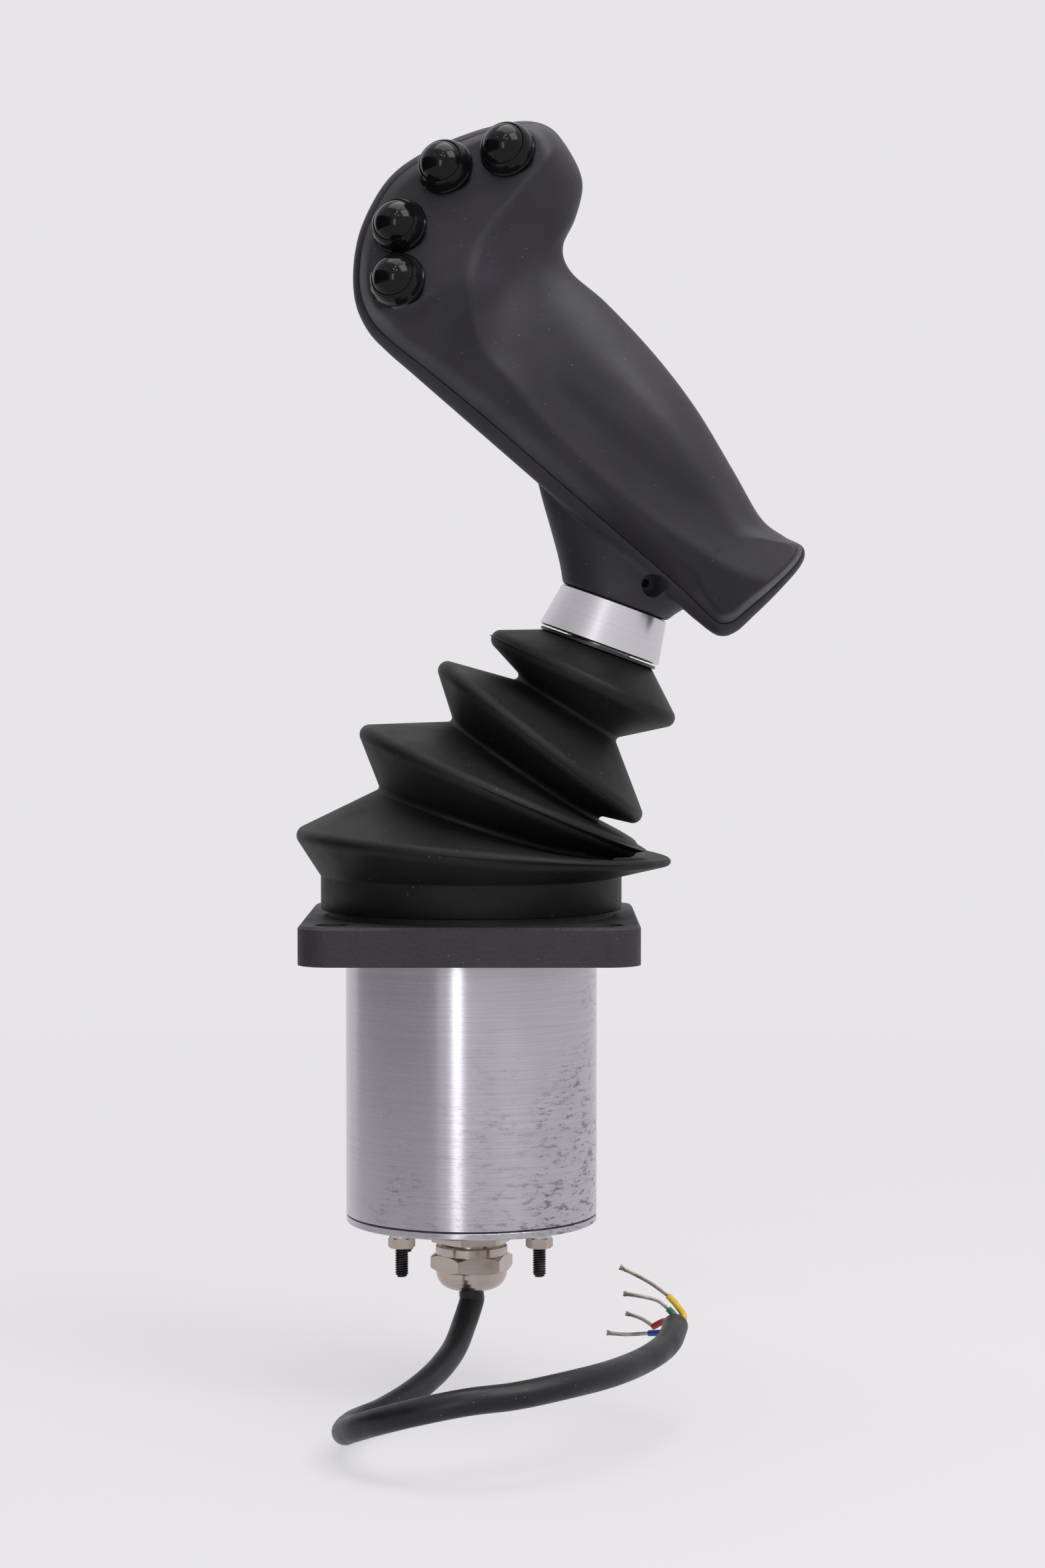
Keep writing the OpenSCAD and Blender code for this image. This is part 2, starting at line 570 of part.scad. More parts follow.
// One row for each crest and valley from the foot up: share of the bellows' height, radius, share
// of the lever's side shift at that height, and lean as a share of the lever's lean. The bellows hangs back behind
// the lever, so its middle folds lean more than the lever does.
foot_z = flange_thick + 1.9;
foot_top = flange_thick + 11.9;
fold_rows = [[0, boot_foot_d / 2, 0, 0], [0.1287, 57.2, 0.22, 0.22], [0.2238, 33.6, 0.21, 0.96],
    [0.3802, 48.2, 0.45, 1.15], [0.4797, 23.8, 0.54, 1.79], [0.5894, 39.9, 0.75, 1.91],
    [0.7327, 16.6, 0.94, 1.61], [0.8716, 32, 0.95, 1.26]];
fold_span = boot_top_h * cos(lever_tilt) - pivot_drop - foot_top;
folds = [for (f = fold_rows) [foot_top + f[0] * fold_span, f[1], f[2], f[3]]];
crest_round = 3.6;
valley_round = 1.6;
boot_sides = 56;

function lever_point(h, r, a) = let (x = r * cos(a), c = cos(lever_tilt), s = sin(lever_tilt))
    [x * c + h * s, r * sin(a), -pivot_drop + h * c - x * s];
function fold_point(f, a) = let (lean = f[3] * lever_tilt, x = f[1] * cos(a))
    [f[2] * (f[0] + pivot_drop) * tan(lever_tilt) + x * cos(lean), f[1] * sin(a), f[0] - x * sin(lean)];
// the sharp-cornered outer line of the rubber at one angle round the lever, foot to top
function outer_line(a) = concat([[boot_foot_d / 2 * cos(a), boot_foot_d / 2 * sin(a), foot_z]],
    [for (f = folds) fold_point(f, a)], [lever_point(boot_top_h, washer_d / 2 - 1, a)]);
// a corner cut to a short curve
function rounded(p, q, r, cut, steps) = let (c1 = min(cut, norm(p - q) * 0.38), c2 = min(cut, norm(r - q) * 0.38),
    s = q + unit(p - q) * c1, e = q + unit(r - q) * c2)
    [for (i = [0:steps]) let (t = i / steps) (1 - t) * (1 - t) * s + 2 * t * (1 - t) * q + t * t * e];
// the corner moved through the rubber's wall, along the line that halves its angle
function inner_corner(p, q, r, side) = let (e1 = unit(p - q), e2 = unit(r - q), b = unit(e1 + e2),
    half = acos(clamp(e1 * e2, -1, 1)) / 2) q + side * b * min(rubber / sin(max(half, 1)), 3 * rubber, 0.62 * min(norm(p - q), norm(r - q)));
function boot_outer(a) = let (l = outer_line(a), n = len(l)) concat([l[0]],
    rounded(l[0], l[1], l[2], 0.6, 1),
    [for (i = [2:n - 2]) each i % 2 == 0 ? rounded(l[i - 1], l[i], l[i + 1], crest_round, 3)
        : rounded(l[i - 1], l[i], l[i + 1], valley_round, 2)],
    [l[n - 1], lever_point(boot_top_h, sleeve_d / 2 + gap, a)]);
function foot_point(r, z, a) = [r * cos(a), r * sin(a), z];
function boot_inner(a) = let (l = outer_line(a), n = len(l), in_r = boss_d / 2 + gap, bead_r = in_r - bead_depth)
    concat([lever_point(boot_top_h - boot_lip, sleeve_d / 2 + gap, a), lever_point(boot_top_h - boot_lip, washer_d / 2 - 3.2, a)],
    [for (i = [n - 2:-1:2]) inner_corner(l[i - 1], l[i], l[i + 1], i % 2 == 0 ? 1 : -1)],
    [foot_point(in_r, foot_top - 0.4, a), foot_point(in_r, bead_z + bead_h / 2, a), foot_point(bead_r, bead_z + bead_h / 2 - 0.3, a),
        foot_point(bead_r, bead_z - bead_h / 2 + 0.3, a), foot_point(in_r, bead_z - bead_h / 2, a), foot_point(in_r, foot_z, a)]);

module rubber_boot() color(rubber_black) {
    lines = [for (k = [0:boot_sides - 1]) let (a = 360 * k / boot_sides) concat(boot_outer(a), boot_inner(a))];
    skin([for (i = [0:len(lines[0]) - 1]) [for (k = [0:boot_sides - 1]) lines[k][i]]], ends = false);
}

// ---------------------------------------------------------------- grip

// Grip frame: x runs along the straight rim towards the head, y across it to the palm's side,
// z away from the thumb, with the parting plane at z = 0.
grip_at = [30.4, -17, neck_foot + 0.6];
module on_grip() on_lever() multmatrix([[-sin(grip_lean), cos(grip_lean), 0, grip_at[0]],
    [0, 0, 1, grip_at[1]], [cos(grip_lean), sin(grip_lean), 0, grip_at[2]], [0, 0, 0, 1]]) children();

// The outline, as stations from the palm rest to the head: the rim's point, the palm side's
// point, then for each the edge's radius and how far the seam lies inside the outline.
stations = [
    [[-5.8, 12], [-6.6, 22], [6, 3], [6, 2.5]],
    [[-4.8, 4.8], [-6.5, 33.2], [5.5, 3.6], [5, 2]],
    [[-1.6, 0.8], [-3.4, 37.4], [6, 4.2], [5, 1]],
    [[6, 0], [3, 35.8], [6, 4.4], [7, 0.2]],
    [[16, 0], [12, 35.3], [6, 4.4], [10, 0]],
    [[30, 0], [27, 40.4], [6, 4.4], [13, 0]],
    [[50, 0], [48, 47.2], [6, 4.4], [15, 0]],
    [[70, 0], [68, 51.2], [6, 4.4], [16, 0]],
    [[88, 0], [88, 53.2], [6, 4.4], [16, 0]],
    [[102, 0], [102, 53.3], [5.5, 4.2], [14, 0]],
    [[112, 0], [108.8, 57.5], [5, 3.9], [12, 0]],
    [[120, 0], [111.6, 66.5], [4.5, 3.6], [11, 0]],
    [[128, 0], [116.5, 75.2], [4, 3.2], [11, 0]],
    [[136, 0.8], [125.3, 79.8], [4, 2.8], [10, 0.2]],
    [[144, 4.3], [134, 81.8], [4, 2.5], [7, 1]],
    [[151, 11], [141.5, 78.5], [4, 2.4], [4.5, 1.8]],
    [[157, 20.5], [149, 69.5], [4, 2.4], [4, 2.2]],
    [[160.3, 31], [155.6, 58], [4, 2.4], [4, 2.4]],
    [[161.2, 40], [159.5, 48.5], [4, 2.4], [4, 2.4]]];
station_count = len(stations);
outline = concat([for (s = stations) concat(s[0], s[2])],
    [for (i = [station_count - 1:-1:0]) concat(stations[i][1], stations[i][3])]);
outline_steps = 2;
function closed_curve(p, steps) = let (n = len(p)) [for (i = [0:n - 1], s = [0:steps - 1])
    catmull(p[(i + n - 1) % n], p[i], p[(i + 1) % n], p[(i + 2) % n], s / steps)];
edge = closed_curve(outline, outline_steps);
edge_n = len(edge);
// each edge point looks at the middle of the body between it and the point across from it
function across(i) = edge[(2 * edge_n - outline_steps - i) % edge_n];
function middle(i) = let (m = (edge[i] + across(i)) / 2) [clamp(m[0], 16, 134), clamp(m[1], 14, 42)];
function inward(i, d) = let (c = [edge[i][0], edge[i][1]], m = middle(i)) c + unit(m - c) * min(d, norm(m - c));

// Heights of the palm and thumb surface above the parting plane, on a net of control heights
net_x = [-12, 0, 12, 25, 40, 60, 80, 95, 105, 112, 118, 124, 129, 136];
net_y = [6, 14, 22, 30, 38, 46, 54, 62];
net = [
    [30, 27, 24, 22, 20, 17, 15, 14],
    [22, 19, 17.5, 16, 14, 11, 9, 8],
    [19, 16, 14, 12.6, 11, 8.5, 7, 6],
    [17.5, 14, 12.8, 13, 12, 9.5, 7, 5],
    [16.5, 12.8, 13, 15, 14.4, 11.2, 8, 5],
    [16, 12.6, 13.4, 16, 16, 13, 9, 6],
    [18, 14, 13.2, 14.6, 14.4, 12, 8.5, 6],
    [21, 17, 14, 12.8, 11.8, 10, 8, 7],
    [24, 20, 15.6, 12.4, 10.4, 9, 8, 8],
    [27, 23, 18, 13, 10.4, 9, 8.6, 9],
    [30, 26, 21, 15.5, 12.5, 11.5, 11.5, 12],
    [33, 29, 24.5, 19.5, 16.5, 15.8, 15.8, 16],
    [36, 33, 29, 25, 22, 21, 21, 21],
    [42, 39, 36, 32, 30, 29, 29, 29]];
function span_of(list, x, i = 0) = i >= len(list) - 2 || x < list[i + 1] ? i : span_of(list, x, i + 1);
function curve_at(list, values, x) = let (n = len(list), i = span_of(list, x),
    t = clamp((x - list[i]) / (list[i + 1] - list[i]), 0, 1))
    catmull(values[max(i - 1, 0)], values[i], values[i + 1], values[min(i + 2, n - 1)], t);
function palm_height(p) = curve_at(net_x, [for (row = net) curve_at(net_y, row, p[1])], p[0]);

pad_x = 127;
pad_height = 19;
rim_rise = 3;
function pad_plane(p) = pad_height + (pad_x - p[0]) * tan(pad_slope);
function rim_face(p) = rim_rise + p[1] * curve_at([40, 85, 105, 119, 127, 135, 145], [0.72, 0.75, 0.8, 0.85, 1.1, 1.8, 3.4], p[0]);
// the lower of two heights, with a fillet of about k where they cross
function soft_min(a, b, k) = let (h = clamp(0.5 + 0.5 * (b - a) / k, 0, 1)) lerp(b, a, h) - k * h * (1 - h);
function front_height(p) = soft_min(soft_min(palm_height(p), rim_face(p), 3), pad_plane(p), 2.4);

rear_x = [-8, 8, 30, 60, 95, 120, 140, 162];
rear_depths = [9, 13, 18, 21, 19, 15, 12, 9];
function rear_depth(p) = let (d = curve_at(rear_x, rear_depths, p[0]), y = (p[1] - 28) / 34) d * (1 - 0.24 * y * y);

// Rings of the front half, from the seam inwards, then the inner face back out to the seam
round_steps = [0, 0.12, 0.35, 0.65, 1];
deep_steps = [0.25, 0.5, 0.75, 0.96];
function bend(x, seam) = pow(1 - (1 - x) * (1 - x), 1 / (2 - min(seam / 2, 1)));
function front_ring(start, rise, lift) = [for (i = [0:edge_n - 1]) let (e = edge[i], p = inward(i, e[3] + start + rise * e[2]))
    [p[0], p[1], -max(front_height(p) - lift, 0.8) * bend(rise, e[3])]];
function deep_point(i, start, share) = let (e = edge[i], d0 = e[3] + start + e[2], m = middle(i), c = [e[0], e[1]], full = norm(m - c))
    inward(i, d0 + (full - d0) * share);
function front_deep(start, share, lift) = [for (i = [0:edge_n - 1]) let (p = deep_point(i, start, share))
    [p[0], p[1], -(front_height(p) - lift)]];
function rear_ring(start, rise, lift) = [for (i = [0:edge_n - 1]) let (e = edge[i], r = e[2] * 0.8 + 4, p = inward(i, start + rise * r))
    [p[0], p[1], rear_lip + (rear_depth(p) - rear_lip - lift) * sqrt(1 - (1 - rise) * (1 - rise))]];
function rear_deep(start, share, lift) = [for (i = [0:edge_n - 1]) let (e = edge[i], d0 = start + e[2] * 0.8 + 4, m = middle(i), c = [e[0], e[1]],
    p = inward(i, d0 + (norm(m - c) - d0) * share)) [p[0], p[1], rear_depth(p) - lift]];
rear_lip = 4.6;
function lip_ring(share, depth) = [for (i = [0:edge_n - 1]) let (p = inward(i, edge[i][3] * share)) [p[0], p[1], depth]];

// Closes the innermost ring across the body: points that look at each other are joined.
function bridge(first, flip) = let (n = edge_n, k = outline_steps) [for (i = [-1:n / 2 - k])
    let (a = (i + n) % n, b = i + 1, c = (2 * n - k - i - 1) % n, d = (2 * n - k - i) % n)
    each [for (f = [[a, b, c], [a, c, d]]) if (f[0] != f[1] && f[1] != f[2] && f[0] != f[2])
        flip ? [first + f[2], first + f[1], first + f[0]] : [first + f[0], first + f[1], first + f[2]]]];

// A half shell: outer rings from the seam to the middle, then inner rings back to the seam
module half_shell(outer, inner, flip) {
    rings = concat(outer, inner);
    n = edge_n;
    m = len(rings);
    mid = len(outer) - 1;
    walls = [for (i = [0:m - 1], j = [0:n - 1]) if (i != mid) let (k = (j + 1) % n, i2 = (i + 1) % m)
        each [for (f = [[i * n + j, i * n + k, i2 * n + k], [i * n + j, i2 * n + k, i2 * n + j]]) flip ? [f[2], f[1], f[0]] : f]];
    polyhedron([for (r = rings) each r], concat(walls, bridge(mid * n, flip), bridge((mid + 1) * n, !flip)), convexity = 10);
}

module front_half() union() {
    for (p = screw_places) translate([p[0], p[1], -front_height(p) + 2.6]) cylinder(r = 3, h = front_height(p) - 2.8, $fn = 32);
    front_skin();
}

module front_skin() half_shell(
    concat([for (r = round_steps) front_ring(0, r, 0)], [for (s = deep_steps) front_deep(0, s, 0)]),
    concat([for (i = [len(deep_steps) - 1:-1:0]) front_deep(grip_wall, deep_steps[i], grip_wall)],
        [for (i = [len(round_steps) - 1:-2:0]) front_ring(grip_wall, round_steps[i], grip_wall)]), false);

module rear_half() union() {
    for (p = screw_places) translate([p[0], p[1], 0]) cylinder(r = 3.7, h = rear_depth(p) - 1.5, $fn = 32);
    rear_skin();
}

module rear_skin() half_shell(
    concat([lip_ring(1, 0), lip_ring(0.45, rear_lip * 0.26), lip_ring(0.1, rear_lip * 0.6)], [for (r = round_steps) rear_ring(0, r, 0)],
        [for (s = deep_steps) rear_deep(0, s, 0)]),
    concat([for (i = [len(deep_steps) - 1:-1:0]) rear_deep(grip_wall + 3, deep_steps[i], grip_wall)],
        [for (i = [len(round_steps) - 1:-1:2]) rear_ring(grip_wall + 3, round_steps[i], grip_wall)],
        [inner_lip(0)]), true);
function inner_lip(depth) = [for (i = [0:edge_n - 1]) let (p = inward(i, edge[i][3] + grip_wall)) [p[0], p[1], depth]];

// The neck, as ovals up the lever: height above the pivot, left and right reach, front and back
neck_r = collar_top_d / 2;
neck = [[0, -neck_r, neck_r, -neck_r, neck_r], [3, -18.2, 18.6, -neck_r, neck_r], [7.5, -21, 22, -16, 16.2],
    [14, -25.6, 23.5, -14.8, 15], [20, -30, 23, -13.4, 12.6], [25, -33.5, 21, -11.5, 8.8],
    [29, -36, 16, -9.5, 4.4], [33, -36, 8, -7.5, -0.5]];
neck_sides = 36;
function neck_rings() = [for (s = neck) [for (k = [0:neck_sides - 1]) let (a = 360 * k / neck_sides)
    [(s[1] + s[2]) / 2 + (s[2] - s[1]) / 2 * cos(a), (s[3] + s[4]) / 2 + (s[4] - s[3]) / 2 * sin(a), neck_foot + s[0]]]];
module neck_body() on_lever() skin(neck_rings());

// Screws from the back into the front half, and the clamp screw in the neck
screw_places = [[6, 21], [66, 38], [98, 13], [121, 50]];
neck_screw_h = neck_foot + 8.2;
neck_screw_turn = 31;
module at_neck_screw() on_lever() translate([0, 0, neck_screw_h]) rotate([0, 0, neck_screw_turn]) rotate([90, 0, 0]) children();

module grip_rear_shell() color(satin_black) difference() {
    union() {
        on_grip() rear_half();
        neck_body();
    }
    on_lever() translate([0, 0, neck_foot - 1]) cylinder(d = lever_d + 2 * fit, h = lever_top - neck_foot + 2, $fn = 48);
    at_neck_screw() {
        cylinder(d = 5 + 2 * fit, h = 30, $fn = 32);
        translate([0, 0, 12.5]) cylinder(d = 7, h = 20, $fn = 32);
    }
    on_grip() for (p = screw_places) translate([p[0], p[1], 0]) {
        translate([0, 0, -1]) cylinder(d = 3.4, h = 40, $fn = 24);
        translate([0, 0, rear_depth(p) - 2]) cylinder(d = 6.4, h = 10, $fn = 24);
    }
}

// ---------------------------------------------------------------- buttons

arc_centre = [120, 42];
button_angles = [54, 18, -24, -55.5];
function button_xy(i) = arc_centre + button_arc * [cos(button_angles[i]), sin(button_angles[i])];
module on_pad(i) on_grip() let (p = button_xy(i)) translate([p[0], p[1], -pad_plane(p)])
    rotate([0, 90 + 90 - pad_slope, 0]) children();

sleeve_r = 5.4;
skirt_h = 3.7;
bezel_h = 5.2;
bezel_floor = 1.5;
stem_r = 2.6;
stop_r = 3.9;
sleeve_len = 8;
nut_gap = 2.9;

module grip_front_shell() color(satin_black) difference() {
    on_grip() front_half();
    for (i = [0:3]) on_pad(i) {
        translate([0, 0, -12]) cylinder(r = sleeve_r + 0.15, h = 24, $fn = 40);
        translate([0, 0, -24]) cylinder(r = 7.4, h = 24 - nut_gap, $fn = 40);
    }
    on_grip() for (p = screw_places) translate([p[0], p[1], -7]) cylinder(d = 3 + 2 * fit, h = 8, $fn = 24);
}

module bezel(i) color(gloss_black) on_pad(i) difference() {
    union() {
        rotate_extrude($fn = 64) polygon([[0, 0.02], [bezel_d / 2, 0.02], [bezel_d / 2, 1.1], [bezel_d / 2 - 0.35, 1.5],
            [bezel_d / 2 - 0.7, 3.2], [bezel_d / 2 - 1.2, 4.4], [bezel_d / 2 - 1.8, bezel_h], [0, bezel_h]]);
        translate([0, 0, -sleeve_len]) cylinder(r = sleeve_r, h = sleeve_len + 1, $fn = 48);
    }
    translate([0, 0, bezel_floor]) cylinder(d = dome_d + 0.4, h = 10, $fn = 48);
    translate([0, 0, -sleeve_len - 1]) cylinder(r = stem_r + 0.2, h = 20, $fn = 32);
    translate([0, 0, -sleeve_len - 1]) cylinder(r = stop_r + gap, h = sleeve_len + 1 - 0.3, $fn = 32);
}

dome_h = 4.1;
dome_r = (dome_d * dome_d / 4 + dome_h * dome_h) / (2 * dome_h);
module button_cap(i) color(gloss_black) on_pad(i) union() {
    translate([0, 0, skirt_h]) cylinder(d = dome_d, h = bezel_h - skirt_h, $fn = 64);
    intersection() {
        translate([0, 0, bezel_h + dome_h - dome_r]) sphere(r = dome_r, $fn = 64);
        translate([0, 0, bezel_h - 0.1]) cylinder(d = dome_d, h = dome_h + 1, $fn = 64);
    }
    translate([0, 0, -sleeve_len + button_travel + 0.3]) cylinder(r = stem_r, h = sleeve_len - button_travel + skirt_h + 1, $fn = 32);
    translate([0, 0, -3]) cylinder(r = stop_r, h = 2.6, $fn = 32);
}

module button_nuts() color(nickel) for (i = [0:3]) on_pad(i) translate([0, 0, -nut_gap - 2.2])
    hex_nut(12.6, 2 * sleeve_r + 2 * fit, 2);

module button_switches() color([0.15, 0.15, 0.16]) for (i = [0:3]) on_pad(i)
    translate([-3.2, -3.2, -sleeve_len - 4.6]) cube([6.4, 6.4, 4.5]);

module grip_screws() color(steel) on_grip() for (p = screw_places) translate([p[0], p[1], 0]) difference() {
    union() {
        translate([0, 0, -6]) cylinder(d = 3, h = 6 + rear_depth(p) - 2, $fn = 24);
        translate([0, 0, rear_depth(p) - 2]) cylinder(d = 5.6, h = 1.8, $fn = 24);
    }
    translate([0, 0, rear_depth(p) - 1.4]) cylinder(d = 2.4, h = 3, $fn = 6);
}

module neck_screw() color(steel) at_neck_screw() difference() {
    translate([0, 0, lever_d / 2 + 0.1]) cylinder(d = 5, h = 6.6, $fn = 32);
    translate([0, 0, lever_d / 2 + 4]) cylinder(d = 2.9, h = 6, $fn = 6);
}

// ---------------------------------------------------------------- nodes

mounting_flange();
limit_plate();
limit_plate_screws();
flange_screws();
housing_can();
gimbal_frame();
frame_bushes();
friction_discs();
hall_board_x();
circuit_board();
board_spacers();
board_nuts();
terminal_block();
inner_leads();
housing_studs();
bottom_gasket();
bottom_cover();
stud_washers();
stud_nuts();
gland_body();
gland_washer();
gland_locknut();
gland_seal();
gland_cap();
cable_inner();
cable_jacket();
core_yellow();
core_green();
core_red();
core_blue();
bare_strands();
rubber_boot();
gimbal_ring();
ring_trunnions();
disc_springs();
preload_nut();
magnet_x();
ring_bushes();
hall_board_y();
lever_shaft();
cross_pin();
magnet_y();
lever_sleeve();
boot_washer();
lever_collar();
grip_rear_shell();
grip_front_shell();
grip_screws();
neck_screw();
bezel(0);  // bezel_1
bezel(1);  // bezel_2
bezel(2);  // bezel_3
bezel(3);  // bezel_4
button_nuts();
button_switches();
button_cap(0);  // button_cap_1
button_cap(1);  // button_cap_2
button_cap(2);  // button_cap_3
button_cap(3);  // button_cap_4
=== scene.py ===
"""Dresses the joystick: grip, bellows, cable, threads and a finish for every part."""

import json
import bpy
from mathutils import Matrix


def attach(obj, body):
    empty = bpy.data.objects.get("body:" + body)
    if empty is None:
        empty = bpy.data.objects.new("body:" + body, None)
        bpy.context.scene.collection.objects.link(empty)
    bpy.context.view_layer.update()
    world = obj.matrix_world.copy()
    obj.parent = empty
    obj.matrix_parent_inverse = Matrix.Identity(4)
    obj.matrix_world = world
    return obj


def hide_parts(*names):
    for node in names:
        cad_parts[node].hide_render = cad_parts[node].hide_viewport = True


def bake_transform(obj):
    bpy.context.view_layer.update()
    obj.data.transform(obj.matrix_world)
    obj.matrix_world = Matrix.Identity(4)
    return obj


bl_info = {
    "name": "Two-axis hand joystick",
    "version": (1, 0, 0),
    "blender": (4, 5, 0),
    "location": "View3D > Sidebar > Joystick",
    "description": "Builds the grip, bellows, cable and finishes of a panel joystick",
    "category": "Object",
}

from math import atan2, cos, pi, radians, sin, sqrt, tan

import bmesh
import bpy
import numpy as np
from mathutils import Vector

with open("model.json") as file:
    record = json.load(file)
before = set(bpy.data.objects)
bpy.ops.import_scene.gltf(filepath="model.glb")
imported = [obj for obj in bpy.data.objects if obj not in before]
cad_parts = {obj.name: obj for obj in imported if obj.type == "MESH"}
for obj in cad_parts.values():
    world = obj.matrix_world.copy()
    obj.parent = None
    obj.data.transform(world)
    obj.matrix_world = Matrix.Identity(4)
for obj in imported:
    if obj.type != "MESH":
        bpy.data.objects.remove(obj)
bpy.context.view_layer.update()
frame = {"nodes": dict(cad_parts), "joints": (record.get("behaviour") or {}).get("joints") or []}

MM = 0.001


# ---- places on the lever


def joint(name):
    """The joint of that name."""
    return next(j for j in frame["joints"] if j["name"] == name)


PIVOT = np.array(joint("lever_side_tilt")["pos_m"]) / MM
FORE_AXIS = joint("lever_fore_aft_tilt")["axis"]
TILT = atan2(-FORE_AXIS[2], FORE_AXIS[0])
GRIP_AT = np.array([30.4, -17.0, 127.1])
GRIP_LEAN = radians(69.1)
# The grip's own axes in the upright lever's frame: along the rim, across it, and backwards
GRIP_AXES = np.array([[-sin(GRIP_LEAN), 0, cos(GRIP_LEAN)],
                      [cos(GRIP_LEAN), 0, sin(GRIP_LEAN)], [0, 1, 0]])


def lever_to_row(points):
    """Millimetres with the lever upright and the pivot at the origin, to the row frame."""
    p = np.asarray(points, float)
    c, s = cos(TILT), sin(TILT)
    return np.stack([p[:, 0] * c + p[:, 2] * s, p[:, 1], -p[:, 0] * s + p[:, 2] * c], 1) + PIVOT


def grip_to_row(points):
    """Millimetres in the grip's frame to the row frame."""
    return lever_to_row(np.asarray(points, float) @ GRIP_AXES + GRIP_AT)


# ---- curves and meshes


def catmull(p0, p1, p2, p3, t):
    """A point of the smooth curve between p1 and p2."""
    bend, twist = 2 * p0 - 5 * p1 + 4 * p2 - p3, 3 * p1 - p0 - 3 * p2 + p3
    return 0.5 * (2 * p1 + (p2 - p0) * t + bend * t**2 + twist * t**3)


def closed_curve(points, steps):
    """A smooth closed curve through the points, with steps parts to each span."""
    n = len(points)
    return np.array([catmull(points[i - 1], points[i], points[(i + 1) % n], points[(i + 2) % n], s / steps)
                     for i in range(n) for s in range(steps)])


def open_curve(points, steps):
    """A smooth open curve through the points, with steps parts to each span."""
    p = np.asarray(points, float)
    n = len(p)
    spans = [catmull(p[max(i - 1, 0)], p[i], p[i + 1], p[min(i + 2, n - 1)], s / steps)
             for i in range(n - 1) for s in range(steps)]
    return np.array(spans + [p[-1]])


def curve_at(knots, values, x):
    """A smooth curve through values at the knots, read at every x. values may have a column for each x."""
    k, v, x = np.asarray(knots, float), np.asarray(values, float), np.asarray(x, float)
    if v.ndim == 1:
        v = np.repeat(v[:, None], len(x), 1)
    i = np.clip(np.searchsorted(k, x, side="right") - 1, 0, len(k) - 2)
    width, column = k[i + 1] - k[i], np.arange(len(x))
    t = np.clip((x - k[i]) / width, 0, 1)
    before, after = np.maximum(i - 1, 0), np.minimum(i + 2, len(k) - 1)
    m0 = (v[i + 1, column] - v[before, column]) / (k[i + 1] - k[before]) * width
    m1 = (v[after, column] - v[i, column]) / (k[after] - k[i]) * width
    return ((2 * t**3 - 3 * t**2 + 1) * v[i, column] + (t**3 - 2 * t**2 + t) * m0
            + (3 * t**2 - 2 * t**3) * v[i + 1, column] + (t**3 - t**2) * m1)


def add_object(name, data):
    """A new object of the scene with that data."""
    thing = bpy.data.objects.new(name, data)
    bpy.context.scene.collection.objects.link(thing)
    return thing


def make_mesh(name, points, faces):
    """A mesh object from points in millimetres in the row frame, with its normals outward."""
    mesh = bpy.data.meshes.new(name)
    mesh.from_pydata((np.asarray(points) * MM).tolist(), [], [list(map(int, f)) for f in faces])
    form = bmesh.new()
    form.from_mesh(mesh)
    bmesh.ops.recalc_face_normals(form, faces=form.faces)
    form.to_mesh(mesh)
    form.free()
    mesh.shade_smooth()
    return add_object(name, mesh)


def turns(sides):
    """Even steps round a circle."""
    return np.linspace(0, 2 * pi, sides, endpoint=False)


def oval(across, deep, height, sides, centre=(0, 0)):
    """A level ring of points, from its half widths along X and Y."""
    turn = turns(sides)
    return np.stack([centre[0] + across * np.cos(turn), centre[1] + deep * np.sin(turn),
                     np.full(sides, float(height))], 1)


def offsets(side, other, radius, sides):
    """A circle about a path's point, from two directions across the path."""
    turn = turns(sides)
    return radius * (np.cos(turn)[:, None] * side + np.sin(turn)[:, None] * other)


def wall_faces(rings, n, closed=False, skip=None):
    """Quads between neighbouring rings of n points each. The span after the ring to skip stays open."""
    last = rings if closed else rings - 1
    return [(i * n + j, i * n + (j + 1) % n, (i + 1) % rings * n + (j + 1) % n, (i + 1) % rings * n + j)
            for i in range(last) if i != skip for j in range(n)]


def tube_faces(rings, n):
    """The wall of a stack of rings, and one face over each end."""
    return wall_faces(rings, n) + [tuple(range(n)), tuple(range((rings - 1) * n, rings * n))]


def add_tube(rings, points, faces):
    """Adds a closed stack of rings to lists of points and faces."""
    first = sum(map(len, points))
    points.extend(rings)
    faces += [tuple(first + k for k in face) for face in tube_faces(len(rings), len(rings[0]))]


def apply_modifiers(thing):
    """Makes the result of the object's modifiers its own mesh."""
    bpy.context.view_layer.update()
    graph = bpy.context.evaluated_depsgraph_get()
    mesh = bpy.data.meshes.new_from_object(thing.evaluated_get(graph))
    thing.modifiers.clear()
    thing.data = mesh


def combine(thing, others, operation="DIFFERENCE"):
    """Takes the others out of the object, or joins them to it, and removes them."""
    for other in others:
        step = thing.modifiers.new("combine", "BOOLEAN")
        step.operation, step.solver, step.object = operation, "MANIFOLD", other
    apply_modifiers(thing)
    for other in others:
        bpy.data.objects.remove(other)


# A direction that no rod runs along
ASIDE = (0.3, 0.9, 0.2)


def rod(name, start, end, radius, sides=48):
    """A plain closed cylinder between two points in millimetres in the row frame."""
    a, b = np.asarray(start, float), np.asarray(end, float)
    along = (b - a) / np.linalg.norm(b - a)
    side = np.cross(along, ASIDE)
    side /= np.linalg.norm(side)
    ring = offsets(side, np.cross(along, side), radius, sides)
    return make_mesh(name, np.vstack([a + ring, b + ring]), tube_faces(2, sides))


# ---- colours and finishes

# Faces that meet at a smaller angle are shaded as one surface, and larger ones get a broken edge
SMOOTH_ANGLE = radians(35)
EDGE_ANGLE = radians(40)


def shade(red, green, blue):
    """A display colour, 0 to 255, as the linear colour that a shader takes."""
    return tuple(c / 12.92 if c <= 0.04045 else ((c + 0.055) / 1.055) ** 2.4
                 for c in (red / 255, green / 255, blue / 255))


